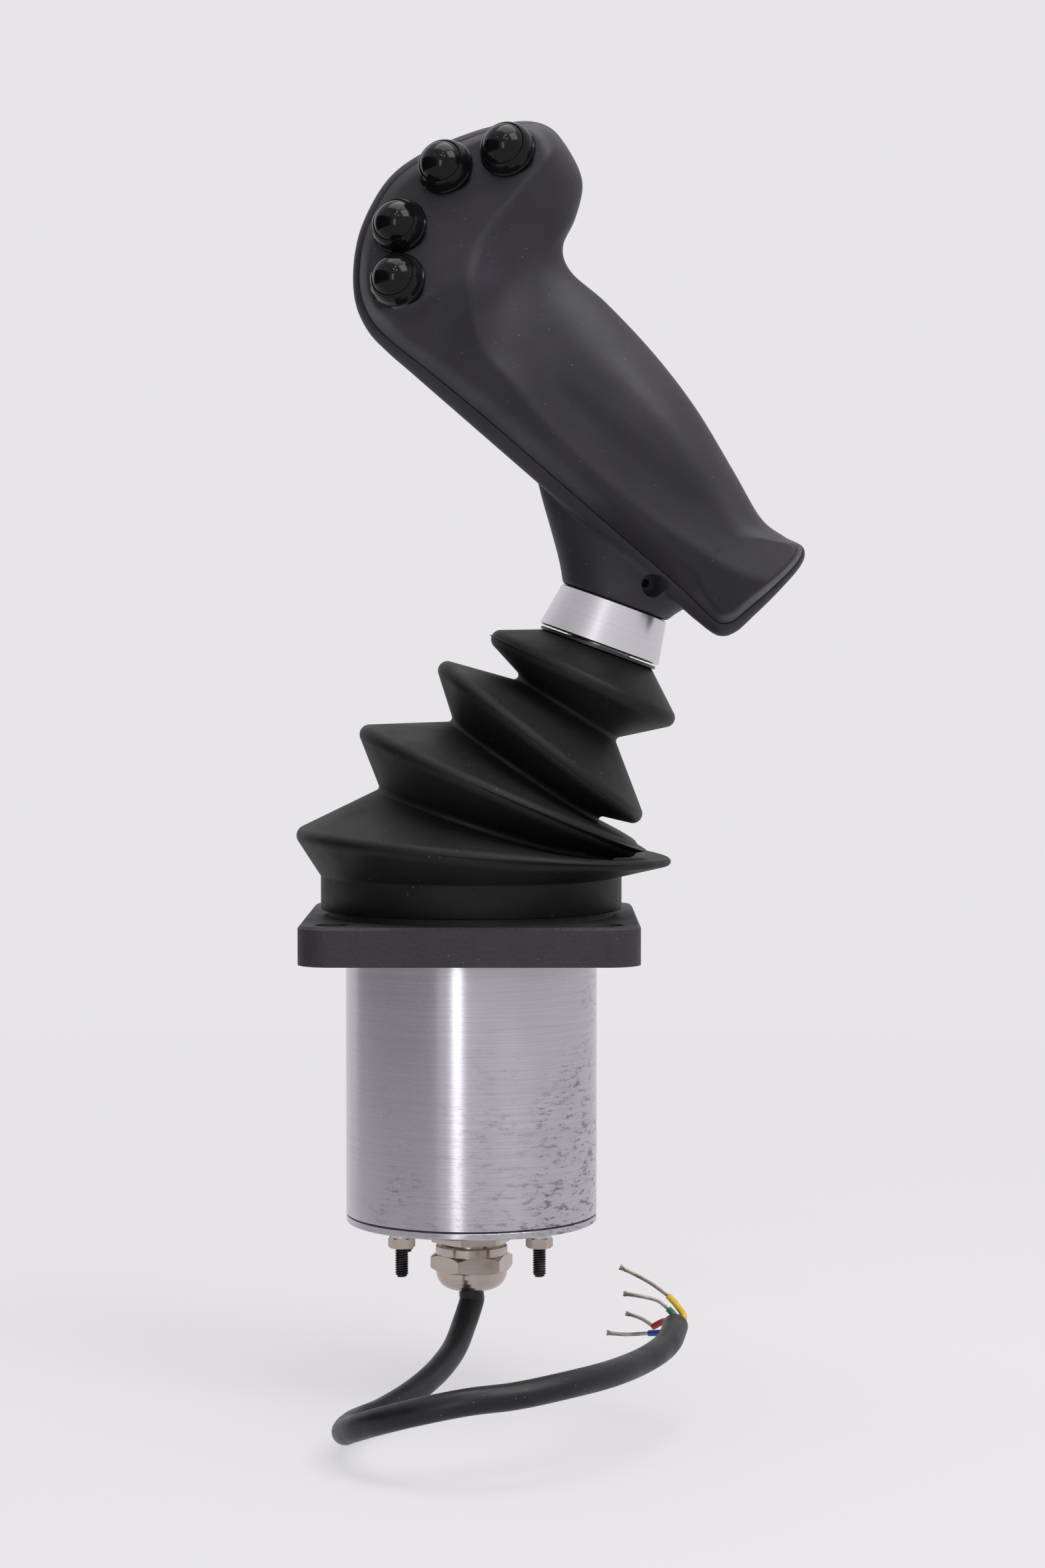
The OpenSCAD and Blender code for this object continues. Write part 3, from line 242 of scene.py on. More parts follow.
def toned(tint, factor):
    """The tint made darker or lighter."""
    return tuple(c * factor for c in tint)


class Wire:
    """A socket of a node that can be used in arithmetic."""

    def __init__(self, nodes, socket):
        self.nodes, self.socket = nodes, socket

    def _maths(self, operation, other):
        return self.nodes.node("Math", {0: self, 1: other}, operation=operation)

    def __add__(self, other):
        return self._maths("ADD", other)

    def __mul__(self, other):
        return self._maths("MULTIPLY", other)

    __rmul__ = __mul__

    def __gt__(self, other):
        return self._maths("GREATER_THAN", other)

    def __lt__(self, other):
        return self._maths("LESS_THAN", other)


class Nodes:
    """The nodes of a material or of the surroundings."""

    def __init__(self, tree):
        self.tree = tree

    def node(self, kind, inputs, out=0, **settings):
        """A node of that type. Its settings are set first, then the values or wires of its sockets."""
        made = self.tree.nodes.new("ShaderNode" + kind)
        for name, value in settings.items():
            setattr(made, name, value)
        for name, value in inputs.items():
            self.feed(made.inputs[name], value)
        return Wire(self, made.outputs[out])

    def feed(self, socket, value):
        """Gives a socket a plain value or a wire."""
        if isinstance(value, Wire):
            self.tree.links.new(value.socket, socket)
        else:
            socket.default_value = value

    def place(self, stretch=(1, 1, 1), leaning=False):
        """The point on the object in metres, stretched along each axis, in the lever's frame if leaning."""
        point = self.node("TexCoord", {}, "Object")
        if leaning:
            moved = self.node("VectorMath", {0: point, 1: tuple(PIVOT * MM)}, operation="SUBTRACT")
            point = self.node("VectorRotate", {"Vector": moved, "Angle": -TILT}, rotation_type="Y_AXIS")
        return self.node("VectorMath", {0: point, 1: stretch}, operation="MULTIPLY")

    def noise(self, scale, stretch=(1, 1, 1), detail=3.0, roughness=0.55, leaning=False):
        """Soft noise from 0 to 1. scale is in waves to the metre."""
        return self.node("TexNoise", {"Vector": self.place(stretch, leaning), "Scale": scale,
                                      "Detail": detail, "Roughness": roughness})

    def specks(self, scale, size, keep):
        """Scattered spots, 1 inside and 0 outside. keep is the share of cells that has one."""
        cells = {"Vector": self.place(), "Scale": scale}
        near, chance = (self.node("TexVoronoi", cells, out) for out in ("Distance", "Color"))
        red = self.node("SeparateColor", {"Color": chance})
        return (near < size) * (red > 1 - keep)

    def ramp(self, value, low, high, start=0.0, end=1.0):
        """value read between low and high, from start to end."""
        made = self.tree.nodes.new("ShaderNodeValToRGB")
        for stop, at, level in zip(made.color_ramp.elements, (low, high), (start, end)):
            stop.position, stop.color = at, (level, level, level, 1)
        self.feed(made.inputs["Fac"], value)
        return Wire(self, made.outputs[0])

    def blend(self, factor, first, second):
        """One colour into another."""
        inputs = {"Factor": factor}
        for name, colour in ((6, first), (7, second)):
            inputs[name] = colour if isinstance(colour, Wire) else (*colour, 1)
        return self.node("Mix", inputs, 2, data_type="RGBA")

    def toning(self, value, low, high, tint, dark, light=1.0):
        """The tint from dark to light, as value goes from low to high."""
        return self.blend(self.ramp(value, low, high), toned(tint, dark), toned(tint, light))


class Finish(Nodes):
    """A material and the nodes that vary it over the surface."""

    def __init__(self, name, **shader):
        self.material = bpy.data.materials.new(name)
        self.material.use_nodes = True
        super().__init__(self.material.node_tree)
        self.shader = self.tree.nodes["Principled BSDF"]
        for socket, value in shader.items():
            self.set(socket.replace("_", " ").title().replace("Ior", "IOR"), value)

    def set(self, socket, value):
        """Gives a socket of the shader a plain value or a wire."""
        self.feed(self.shader.inputs[socket], value)

    def dust(self, base, colour, scale, size, keep, cover):
        """Gives the shader the base colour, with fine specks of another colour on it."""
        self.set("Base Color", self.blend(self.specks(scale, size, keep) * cover, base, colour))

    def wear(self, value, low, high, smooth, rough):
        """Varies the roughness from smooth to rough, as value goes from low to high."""
        self.set("Roughness", self.ramp(value, low, high, smooth, rough))

    def relief(self, height, distance):
        """Makes height a bump of that depth in metres on the shader."""
        self.set("Normal", self.node("Bump", {"Height": height, "Distance": distance, "Strength": 1.0}))


def dress(thing, finish):
    """Gives the object one finish in place of what it had."""
    thing.data.materials.clear()
    thing.data.materials.append(finish.material)


def dress_nodes(names, finish, bevel):
    """Gives CAD nodes a finish, smooth faces and, where bevel isn't 0, slightly broken edges."""
    for name in names:
        thing = frame["nodes"][name]
        dress(thing, finish)
        thing.data.shade_smooth()
        thing.data.set_sharp_from_angle(angle=SMOOTH_ANGLE)
        if bevel:
            edge = thing.modifiers.new("edge", "BEVEL")
            edge.width, edge.segments, edge.limit_method = bevel * MM, 2, "ANGLE"
            edge.angle_limit, edge.harden_normals = EDGE_ANGLE, False


def stand_in(piece, finish, node, body=None):
    """Finishes a piece and puts it in its CAD node's place, on that body if one is given."""
    dress(piece, finish)
    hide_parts(node)
    if body:
        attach(piece, body)


# ---- sizes and colours to set


def colour(label, about, red, green, blue):
    """A colour property with a display colour as its default."""
    return bpy.props.FloatVectorProperty(name=label, description=about, default=shade(red, green, blue),
                                         subtype="COLOR", size=3, min=0, max=1)


def length(label, about, millimetres, low, high):
    """A length property. Its values are given in millimetres."""
    return bpy.props.FloatProperty(name=label, description=about, default=millimetres * MM, min=low * MM,
                                   max=high * MM, unit="LENGTH", subtype="DISTANCE", precision=5)


class JoystickSizes(bpy.types.PropertyGroup):
    """Sizes that can change while the solids stay as they are."""

    crest: length("Fold crest", "Radius of a fold's crest", 2.9, 2, 4)
    valley: length("Fold valley", "Radius of a fold's valley", 1.3, 0.8, 3)
    pitch: length("Thread pitch", "Pitch of the long studs' thread", 0.7, 0.5, 0.8)
    strand: length("Strand", "Diameter of one bare strand", 0.38, 0.2, 0.6)
    grain: length("Grip grain", "Depth of the grip's fine grain", 0.035, 0, 0.2)


class JoystickColours(bpy.types.PropertyGroup):
    """Colours of the finishes and the stage."""

    grip: colour("Grip", "Moulded plastic of the grip", 48, 46, 50)
    rubber: colour("Rubber", "Bellows", 22, 21, 22)
    powder: colour("Powder coat", "Flange", 50, 47, 50)
    aluminium: colour("Aluminium", "Brushed can", 186, 184, 190)
    collar: colour("Collar", "Turned aluminium of the collar", 214, 212, 216)
    nickel: colour("Nickel", "Plating of the gland and nuts", 186, 174, 166)
    cable: colour("Cable", "Jacket of the cable", 22, 22, 25)
    gloss: colour("Gloss black", "Bezels and buttons", 16, 16, 18)
    floor: colour("Floor", "Floor and backdrop", 231, 229, 232)


# ---- grip

# Stations from the palm rest to the head: the rim's point, the palm side's point, then for each
# of the two the edge's radius and how far the seam lies inside the outline
STATIONS = [
    (-5.8, 12, -6.6, 22, 3.2, 3, 3.2, 2.5),
    (-4.8, 4.8, -6.5, 33.2, 3.4, 3.6, 3.4, 2),
    (-1.6, 0.8, -3.4, 37.4, 4, 4.2, 4, 1),
    (6, 0, 3, 35.8, 4.6, 4.4, 6, 0.2),
    (16, 0, 12, 35.3, 6, 4.4, 10, 0),
    (30, 0, 27, 40.4, 6, 4.4, 13, 0),
    (50, 0, 48, 47.2, 6, 4.4, 15, 0),
    (70, 0, 68, 51.2, 6, 4.4, 16, 0),
    (88, 0, 88, 53.2, 6, 4.4, 16, 0),
    (102, 0, 102, 53.3, 5.5, 4.2, 14, 0),
    (112, 0, 108.8, 57.5, 5, 3.9, 12, 0),
    (120, 0, 111.6, 66.5, 4.5, 3.6, 11, 0),
    (128, 0, 116.5, 75.2, 4, 3.2, 11, 0),
    (136, 0.8, 125.3, 79.8, 4, 2.8, 10, 0.2),
    (144, 4.3, 134, 81.8, 4, 2.5, 7, 1),
    (151, 11, 141.5, 78.5, 4, 2.4, 4.5, 1.8),
    (157, 20.5, 149, 69.5, 4, 2.4, 4, 2.2),
    (160.3, 31, 155.6, 58, 4, 2.4, 4, 2.4),
    (161.2, 40, 159.5, 48.5, 4, 2.4, 4, 2.4)]
# Heights of the palm and thumb surface above the parting plane, on a net of places
NET_X = [-12, 0, 12, 25, 40, 60, 80, 95, 105, 112, 118, 124, 129, 136]
NET_Y = [6, 14, 22, 30, 38, 46, 54, 62]
NET = [
    [30, 27, 24, 22, 20, 17, 15, 14],
    [22, 19, 17.5, 16, 14, 11, 9, 8],
    [19, 16, 14, 12.6, 11, 8.5, 7, 6],
    [17.5, 14, 12.8, 13, 12, 9.5, 7, 5],
    [16.5, 12.8, 13, 15, 14.4, 11.2, 8, 5],
    [16, 12.6, 13.4, 16, 16, 13, 9, 6],
    [18, 14, 13.2, 14.6, 14.4, 12, 8.5, 6],
    [21, 17, 14, 12.8, 11.8, 10, 8, 7],
    [23, 18.6, 15.4, 12.6, 10.4, 9, 8, 8],
    [27, 23, 19, 14.6, 11, 9, 8.6, 9],
    [30, 26, 23.5, 20, 14.4, 12, 11.5, 12],
    [33, 30, 27.5, 24, 19, 16.6, 16, 16],
    [36, 33, 29, 25, 22, 21, 21, 21],
    [42, 39, 36, 32, 30, 29, 29, 29]]
RIM_HEIGHT = 3
RIM_SLOPES = ([40, 85, 105, 119, 127, 135, 145], [0.74, 0.79, 0.8, 0.66, 0.8, 1.6, 3.4])
# The fillet between the palm surface and the rim's slope, and the one round the button pad
CREASE, PAD_CREASE = 1.5, 2.6
# A place along the button pad, the pad's height there and its slope
PAD_AT, PAD_HEIGHT, PAD_SLOPE = 127, 19, radians(27)
REAR_DEPTHS = ([-8, 8, 30, 60, 95, 120, 140, 162], [9, 13, 18, 21, 19, 15, 12, 9])
# The rear half's deepest line, half the width across it, and the share of depth lost at that width
REAR_CROWN, REAR_HALF, REAR_FALL = 28, 34, 0.24
REAR_LIP = 4.6
GRIP_WALL = 3.0
OUTLINE_STEPS = 8
SEAM_GROOVE = 0.2
# Corners of the cutter that opens the groove in the rear half: distance in from the seam, and depth
GROOVE_RING = ((0.5, 1.1), (0.5, -0.5), (-0.5, -0.5), (-0.5, -0.1))
# The rear half's lip: each ring's share of the way in to the seam, and its depth
LIP = ((1, 0), (0.8, 0.25), (0.55, 0.9), (0.3, 1.9), (0.1, 3.1), (0, 4.2))
SCREW_PLACES = [(6, 21), (66, 38), (98, 13), (121, 50)]
# Each room of a grip screw: its radius and its ends, below the parting plane and below the surface
SCREW_BORE, SCREW_RECESS = (1.7, -2, 40), (3.2, -2, 8)
ARC_CENTRE = np.array([120.0, 42.0])
BUTTON_ARC = 30.4
BUTTON_ANGLES = [54, 18, -24, -55.5]
SLEEVE_BORE, LEVER_BORE = 5.55, 6.05
SKIN_FACE = 0.7
GRIP_SHARP = radians(62)

ROWS = np.array(STATIONS)
EDGE = closed_curve(np.vstack([ROWS[:, [0, 1, 4, 5]], ROWS[::-1, [2, 3, 6, 7]]]), OUTLINE_STEPS)
EDGE_COUNT = len(EDGE)
ACROSS = [(2 * EDGE_COUNT - OUTLINE_STEPS - i) % EDGE_COUNT for i in range(EDGE_COUNT)]
# The body's middle line, kept inside a box so that the rings close evenly at both ends
MIDDLE = np.clip((EDGE[:, :2] + EDGE[ACROSS][:, :2]) / 2, (16, 14), (134, 42))
REACH = np.linalg.norm(MIDDLE - EDGE[:, :2], axis=1)
SEAM = EDGE[:, 3]


def inward(distance):
    """The outline moved towards the middle of the body."""
    return EDGE[:, :2] + (MIDDLE - EDGE[:, :2]) / REACH[:, None] * np.minimum(distance, REACH)[:, None]


def soft_min(a, b, k):
    """The lower of two heights, with a fillet of about k where they cross."""
    h = np.clip(0.5 + 0.5 * (b - a) / k, 0, 1)
    return b + (a - b) * h - k * h * (1 - h)


def pad_plane(x):
    """Height of the button pad above the parting plane."""
    return PAD_HEIGHT + (PAD_AT - x) * tan(PAD_SLOPE)


def front_height(p):
    """Height of the front half above the parting plane."""
    x, y = p[:, 0], p[:, 1]
    palm = curve_at(NET_X, np.array([curve_at(NET_Y, row, y) for row in NET]), x)
    rim = RIM_HEIGHT + y * curve_at(*RIM_SLOPES, x)
    return soft_min(soft_min(palm, rim, CREASE), pad_plane(x), PAD_CREASE)


def rear_depth(p):
    """Depth of the rear half behind the parting plane."""
    across = (p[:, 1] - REAR_CROWN) / REAR_HALF
    return curve_at(*REAR_DEPTHS, p[:, 0]) * (1 - REAR_FALL * across**2)


def ring_at(p, depth):
    """A ring of points from places and depths."""
    return np.column_stack([p, np.broadcast_to(depth, len(p))])


def eased(count):
    """Steps from 0 to 1 that start close together."""
    return [1 - cos(pi / 2 * i / count) for i in range(count + 1)]


def even(count, last):
    """Even steps from 0 to 1 without either end, then one close to the end."""
    return [i / count for i in range(1, count)] + [last]


RISES, SHARES = eased(12), even(26, 0.985)


def front_rings(start, lift, rises, shares, groove=0.0):
    """Rings of the front half from the seam to the middle, with a groove of that depth at the seam."""
    fillet = EDGE[:, 2]
    rings = [ring_at(inward(SEAM + start + 2 * groove), depth) for depth in (0, -groove)] if groove else []
    for rise in rises:
        p = inward(SEAM + start + rise * fillet)
        bend = (1 - (1 - rise) ** 2) ** (1 / (2 - np.minimum(SEAM / 2, 1)))
        rings.append(ring_at(p, -groove - (np.maximum(front_height(p) - lift, 0.8) - groove) * bend))
    first = SEAM + start + fillet
    for share in shares:
        p = inward(first + (REACH - first) * share)
        rings.append(ring_at(p, lift - front_height(p)))
    return rings


def rear_rings(start, lift, rises, shares):
    """Rings of the rear half from its widest line to the middle."""
    fillet = EDGE[:, 2] * 0.8 + 4
    rings = []
    for rise in rises:
        p = inward(start + rise * fillet)
        bend = sqrt(1 - (1 - rise) ** 2)
        rings.append(ring_at(p, REAR_LIP + (rear_depth(p) - REAR_LIP - lift) * bend))
    for share in shares:
        p = inward(start + fillet + (REACH - start - fillet) * share)
        rings.append(ring_at(p, rear_depth(p) - lift))
    return rings


def bridge_faces(ring):
    """Closes a ring across the body: points that look at each other are joined."""
    n, half = EDGE_COUNT, OUTLINE_STEPS // 2
    faces = []
    for i in range(-half, n // 2 - half):
        corners = [i % n, (i + 1) % n, ACROSS[(i + 1) % n], ACROSS[i % n]]
        faces.append([ring * n + c for c in dict.fromkeys(corners)])
    return faces


def shell(name, outer, inner):
    """A closed half shell: rings from the seam to the middle, then the inner rings back to it."""
    rings, middle = outer + inner, len(outer) - 1
    faces = wall_faces(len(rings), EDGE_COUNT, closed=True, skip=middle)
    faces += bridge_faces(middle) + bridge_faces(middle + 1)
    return make_mesh(name, grip_to_row(np.vstack(rings)), faces)


def pad_point(i, height):
    """A point over button i, in the row frame, at that height above the pad."""
    turn = radians(BUTTON_ANGLES[i])
    x, y = ARC_CENTRE + BUTTON_ARC * np.array([cos(turn), sin(turn)])
    normal = np.array([-sin(PAD_SLOPE), 0, -cos(PAD_SLOPE)])
    return grip_to_row([np.array([x, y, -pad_plane(x)]) + normal * height])[0]


NECK_FOOT, NECK_HEIGHT, NECK_SIDES = 126.5, 33, 96
# The ends of the lever's bore, above the neck's foot
LEVER_ROOM = (-4, 20.5)
# Height, then how far the neck reaches left, right, forward and back
NECK = [[0, -16.65, 16.65, -16.65, 16.65], [3, -18.2, 18.6, -16.65, 16.65], [7.5, -21, 22, -16, 16.2],
        [14, -25.6, 23.5, -14.8, 15], [20, -30, 23, -13.4, 12.6], [25, -33.5, 21, -11.5, 8.8],
        [29, -36, 16, -9.5, 4.4], [33, -36, 8, -7.5, -0.5]]
# The neck screw's height and the turn of its axis, then each step of its room: ends and radius
NECK_SCREW_UP, NECK_SCREW_TURN = 8.2, radians(31)
NECK_SCREW_ROOM = ((0, 30, 2.55), (12.5, 32, 3.5))


def neck_solid(name):
    """The neck, as ovals up the lever."""
    rows = np.array(NECK, float)
    heights = np.linspace(0, NECK_HEIGHT, 45)
    reach = [curve_at(rows[:, 0], rows[:, k], heights) for k in range(1, 5)]
    rings = [oval((r - l) / 2, (b - f) / 2, NECK_FOOT + h, NECK_SIDES, ((l + r) / 2, (f + b) / 2))
             for l, r, f, b, h in zip(*reach, heights)]
    return make_mesh(name, lever_to_row(np.vstack(rings)), tube_faces(len(rings), NECK_SIDES))


def front_half():
    """The front half, with a bore behind each button."""
    inner = front_rings(GRIP_WALL, GRIP_WALL, eased(5), even(12, 0.975))
    made = shell("grip_front", front_rings(0, 0, RISES, SHARES, SEAM_GROOVE), inner[::-1])
    combine(made, [rod(f"sleeve_bore_{i}", pad_point(i, -3), pad_point(i, 12), SLEEVE_BORE)
                   for i in range(len(BUTTON_ANGLES))])
    return made


def rear_half():
    """The rear half, with its neck grown into it."""
    lips = [ring_at(inward(SEAM * share), depth) for share, depth in LIP]
    middle = [ring_at(inward(SEAM + (REACH - SEAM) * share), 0) for share in np.linspace(0.98, 0.02, 25)]
    made = shell("grip_rear", lips + rear_rings(0, 0, RISES[1:], SHARES), middle)
    combine(made, [neck_solid("grip_neck")], "UNION")
    skin = made.modifiers.new("skin", "REMESH")
    skin.mode, skin.voxel_size, skin.use_smooth_shade = "VOXEL", SKIN_FACE * MM, True
    softened = made.modifiers.new("softened", "SMOOTH")
    softened.factor, softened.iterations = 0.5, 6
    apply_modifiers(made)
    combine(made, rear_cutters())
    return made


def rear_cutters():
    """The rear half's hollow, its seam groove, and its rooms for the lever and the screws."""
    inner = SEAM + GRIP_WALL
    hollow = ([ring_at(inward(inner), depth) for depth in (-GRIP_WALL, 0)]
              + rear_rings(GRIP_WALL + 3, GRIP_WALL, RISES[4:], SHARES[::3]))
    back = [ring_at(inward(inner + (REACH - inner) * share), -GRIP_WALL) for share in (0.97, 0.6, 0.3)]
    groove = grip_to_row(np.vstack([ring_at(inward(SEAM + side), depth) for side, depth in GROOVE_RING]))
    lever = lever_to_row([(0, 0, NECK_FOOT + height) for height in LEVER_ROOM])
    cutters = [shell("grip_room", hollow, back),
               make_mesh("seam_groove", groove, wall_faces(len(GROOVE_RING), EDGE_COUNT, closed=True)),
               rod("lever_room", *lever, LEVER_BORE, NECK_SIDES)]
    out = np.array([sin(NECK_SCREW_TURN), -cos(NECK_SCREW_TURN), 0])
    level = np.array([0, 0, NECK_FOOT + NECK_SCREW_UP])
    for near, far, radius in NECK_SCREW_ROOM:
        ends = lever_to_row([level + out * near, level + out * far])
        cutters.append(rod(f"neck_screw_room_{near}", *ends, radius))
    for k, (x, y) in enumerate(SCREW_PLACES):
        surface = rear_depth(np.array([[x, y]], float))[0]
        for part, (radius, low, high), under in (("bore", SCREW_BORE, 0), ("recess", SCREW_RECESS, surface)):
            ends = grip_to_row([(x, y, under + low), (x, y, under + high)])
            cutters.append(rod(f"screw_{part}_{k}", *ends, radius))
    return cutters


class JOYSTICK_OT_grip(bpy.types.Operator):
    """Builds the two moulded halves of the hand grip"""

    bl_idname = "joystick.grip"
    bl_label = "Grip"

    def execute(self, context):
        scene = context.scene
        plastic = grip_plastic(scene.joystick_colours.grip, scene.joystick_sizes.grain)
        for half, node in ((front_half(), "grip_front_shell"), (rear_half(), "grip_rear_shell")):
            half.data.shade_smooth()
            half.data.set_sharp_from_angle(angle=GRIP_SHARP)
            stand_in(half, plastic, node, "lever")
        return {"FINISHED"}


def grip_plastic(tint, grain):
    """Soft black moulded plastic with a fine grain, dust and faint wear."""
    made = Finish("grip_plastic", roughness=0.5, specular_ior_level=0.24)
    base = made.toning(made.noise(38, detail=5.0), 0.35, 0.75, tint, 0.86, 1.25)
    made.dust(base, shade(120, 118, 120), 900, 0.16, 0.035, 0.55)
    made.wear(made.noise(90), 0.2, 0.85, 0.44, 0.58)
    made.relief(made.noise(2600, detail=2.0, roughness=0.6) + 0.5 * made.noise(700), grain)
    return made


# ---- bellows

BOSS_R = 43.2
FOOT_R = 45.5
FOOT_LOW, FOOT_TOP, FOOT_CHAMFER = 13.4, 23.4, 0.3
BEAD_LOW, BEAD_TOP, BEAD_DEPTH = 15.0, 16.8, 1.2
RUBBER = 1.5
BOOT_TOP, CUFF = 111.5, 1.4
SLEEVE_R, WASHER_R = 10.0, 18.3
FIT = 0.3
# One row for each crest and valley: height, radius, share of the lever's side shift and lean
FOLDS = [(FOOT_TOP, FOOT_R, 0, 0), (32.2, 57.2, 0.22, 0.22), (38.7, 33.6, 0.21, 0.96),
         (49.4, 48.2, 0.45, 1.15), (56.2, 23.8, 0.54, 1.79), (63.7, 39.9, 0.75, 1.91),
         (73.5, 16.6, 0.94, 1.61), (83, 32, 0.95, 1.26)]
# The valley and the crest at which the bellows is cut, and a reach above each along its piece's lean
CUTS, TURN_REACHES = (2, 3), (8.5, 15)
# The share of an arc's set-back that its corner is moved out by, and the foot corners' radius
CREST_REACH, FOOT_ROUND = 0.5, 0.8
SMALLEST_HALF = 0.05
BOOT_SIDES = 176
BOOT_SHARP = radians(60)


def lever_ring(height, radius):
    """A level ring round the upright lever, in the row frame."""
    return lever_to_row(oval(radius, radius, height, BOOT_SIDES))


def level_ring(height, radius):
    """A level ring round the housing's axis."""
    return oval(radius, radius, height, BOOT_SIDES)


def fold_ring(fold):
    """The ring of a crest or valley, leaning with the lever."""
    height, radius, share, lean = fold
    x, y, _ = level_ring(height, radius).T
    shift, angle = share * (height - PIVOT[2]) * tan(TILT), lean * TILT
    return np.stack([shift + x * cos(angle), y, height - x * sin(angle)], 1)


def unit(v):
    """Rows of v at length one."""
    return v / np.linalg.norm(v, axis=1)[:, None]


def half_angle(e1, e2):
    """Half the angle between rows of two directions."""
    return np.maximum(np.arccos(np.clip((e1 * e2).sum(1), -1, 1)) / 2, SMALLEST_HALF)


def spread_corners(line, radii):
    """Moves each corner outward, so that an arc of its radius, laid in it, comes close to the old place."""
    moved = [ring.copy() for ring in line]
    for _ in range(6):
        for i in range(2, len(line) - 1):
            e1, e2 = unit(moved[i - 1] - moved[i]), unit(moved[i + 1] - moved[i])
            back = CREST_REACH * radii[i] * (1 / np.sin(half_angle(e1, e2)) - 1)
            goal = line[i] - unit(e1 + e2) * np.minimum(back, 4 * radii[i])[:, None]
            moved[i] = 0.5 * moved[i] + 0.5 * goal
    return moved


def arc_rings(before, corner, after, radius, steps):
    """Rings of the arc that lies in a corner, with its neighbours' directions at its ends."""
    e1, e2 = unit(before - corner), unit(after - corner)
    half = half_angle(e1, e2)
    room = np.minimum(np.linalg.norm(before - corner, axis=1), np.linalg.norm(after - corner, axis=1))
    radius = np.minimum(radius, 0.47 * room * np.tan(half))
    middle, side = unit(e1 + e2), unit(e1 - e2)
    centre = corner + middle * (radius / np.sin(half))[:, None]
    sweep = pi / 2 - half
    turned = [t * sweep[:, None] for t in np.linspace(1, -1, steps + 1)]
    return [centre + radius[:, None] * (np.sin(turn) * side - np.cos(turn) * middle) for turn in turned]


def inner_ring(before, corner, after, valley):
    """The rubber's inner face at a crest or valley, on the line that halves its angle."""
    return corner + (-1 if valley else 1) * unit(unit(before - corner) + unit(after - corner)) * RUBBER


def foot_rings():
    """The inside of the bellows' foot, with the bead that sits in the boss's groove, and its edge."""
    inside = BOSS_R + FIT
    return [level_ring(z, r) for z, r in (
        (FOOT_TOP - 0.4, inside), (BEAD_TOP, inside), (BEAD_TOP - FOOT_CHAMFER, inside - BEAD_DEPTH),
        (BEAD_LOW + FOOT_CHAMFER, inside - BEAD_DEPTH), (BEAD_LOW, inside), (FOOT_LOW, inside),
        (FOOT_LOW, FOOT_R - FOOT_CHAMFER), (FOOT_LOW + FOOT_CHAMFER, FOOT_R))]


def top_rings():
    """The bellows' top face and its cuff round the lever's sleeve."""
    return [lever_ring(z, r) for z, r in (
        (BOOT_TOP, WASHER_R - 1), (BOOT_TOP, SLEEVE_R + FIT), (BOOT_TOP - CUFF, SLEEVE_R + FIT),
        (BOOT_TOP - CUFF, WASHER_R - 3.2))]


class JOYSTICK_OT_bellows(bpy.types.Operator):
    """Builds the rubber bellows in three pieces, the lowest riding on the housing"""

    bl_idname = "joystick.bellows"
    bl_label = "Bellows"

    def execute(self, context):
        sizes = context.scene.joystick_sizes
        top = top_rings()
        line = [level_ring(FOOT_LOW, FOOT_R)] + [fold_ring(f) for f in FOLDS] + top[:1]
        valleys = [i > 1 and i % 2 == 1 for i in range(len(line))]
        radii = [FOOT_ROUND if i < 2 else (sizes.valley if valleys[i] else sizes.crest) / MM
                 for i in range(len(line))]
        spread = spread_corners(line, radii)
        outer, inner = [], []
        for i in range(1, len(line) - 1):
            outer.append(arc_rings(spread[i - 1], spread[i], spread[i + 1], radii[i], 4 if i == 1 else 14))
            inner.append(inner_ring(line[i - 1], line[i], line[i + 1], valleys[i]))
        first, second = CUTS
        mid1, mid2 = (len(outer[k]) // 2 for k in CUTS)
        low = [inner[1]] + foot_rings() + outer[0] + outer[1] + outer[first][:mid1 + 1] + [inner[first]]
        mid = outer[first][mid1:] + outer[second][:mid2 + 1] + inner[first:second + 1][::-1]
        high = outer[second][mid2:] + sum(outer[second + 1:], []) + top + inner[second:][::-1]
        rubber = boot_rubber(context.scene.joystick_colours.rubber)
        lower, middle, upper = (self.part("bellows_" + name, rings, rubber)
                                for name, rings in (("lower", low), ("middle", mid), ("upper", high)))
        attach(lower, "housing")
        for made, bodies, row, reach in ((middle, ("housing", "gimbal"), first, TURN_REACHES[0]),
                                         (upper, ("gimbal", "lever"), second, TURN_REACHES[1])):
            start, lean = fold_ring(FOLDS[row]).mean(0), FOLDS[row][3] * TILT
            end = start + reach * np.array([sin(lean), 0, cos(lean)])
            tuple(end * MM)
            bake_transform(made)
        return {"FINISHED"}

    @staticmethod
    def part(name, rings, rubber):
        """One closed piece of the bellows."""
        made = make_mesh(name, np.vstack(rings), wall_faces(len(rings), BOOT_SIDES, closed=True))
        made.data.set_sharp_from_angle(angle=BOOT_SHARP)
        stand_in(made, rubber, "rubber_boot")
        return made


def boot_rubber(tint):
    """Matt black rubber with dust in its folds and a faint moulding bloom."""
    made = Finish("boot_rubber", roughness=0.5, specular_ior_level=0.2)
    base = made.toning(made.noise(26, stretch=(1, 1, 1.6), detail=6.0), 0.4, 0.8, tint, 0.85, 1.7)
    made.dust(base, shade(104, 103, 104), 620, 0.17, 0.05, 0.4)
    made.wear(made.noise(60), 0.25, 0.8, 0.46, 0.66)
    made.relief(made.noise(900, detail=4.0), 0.00006)
    return made


# ---- cable

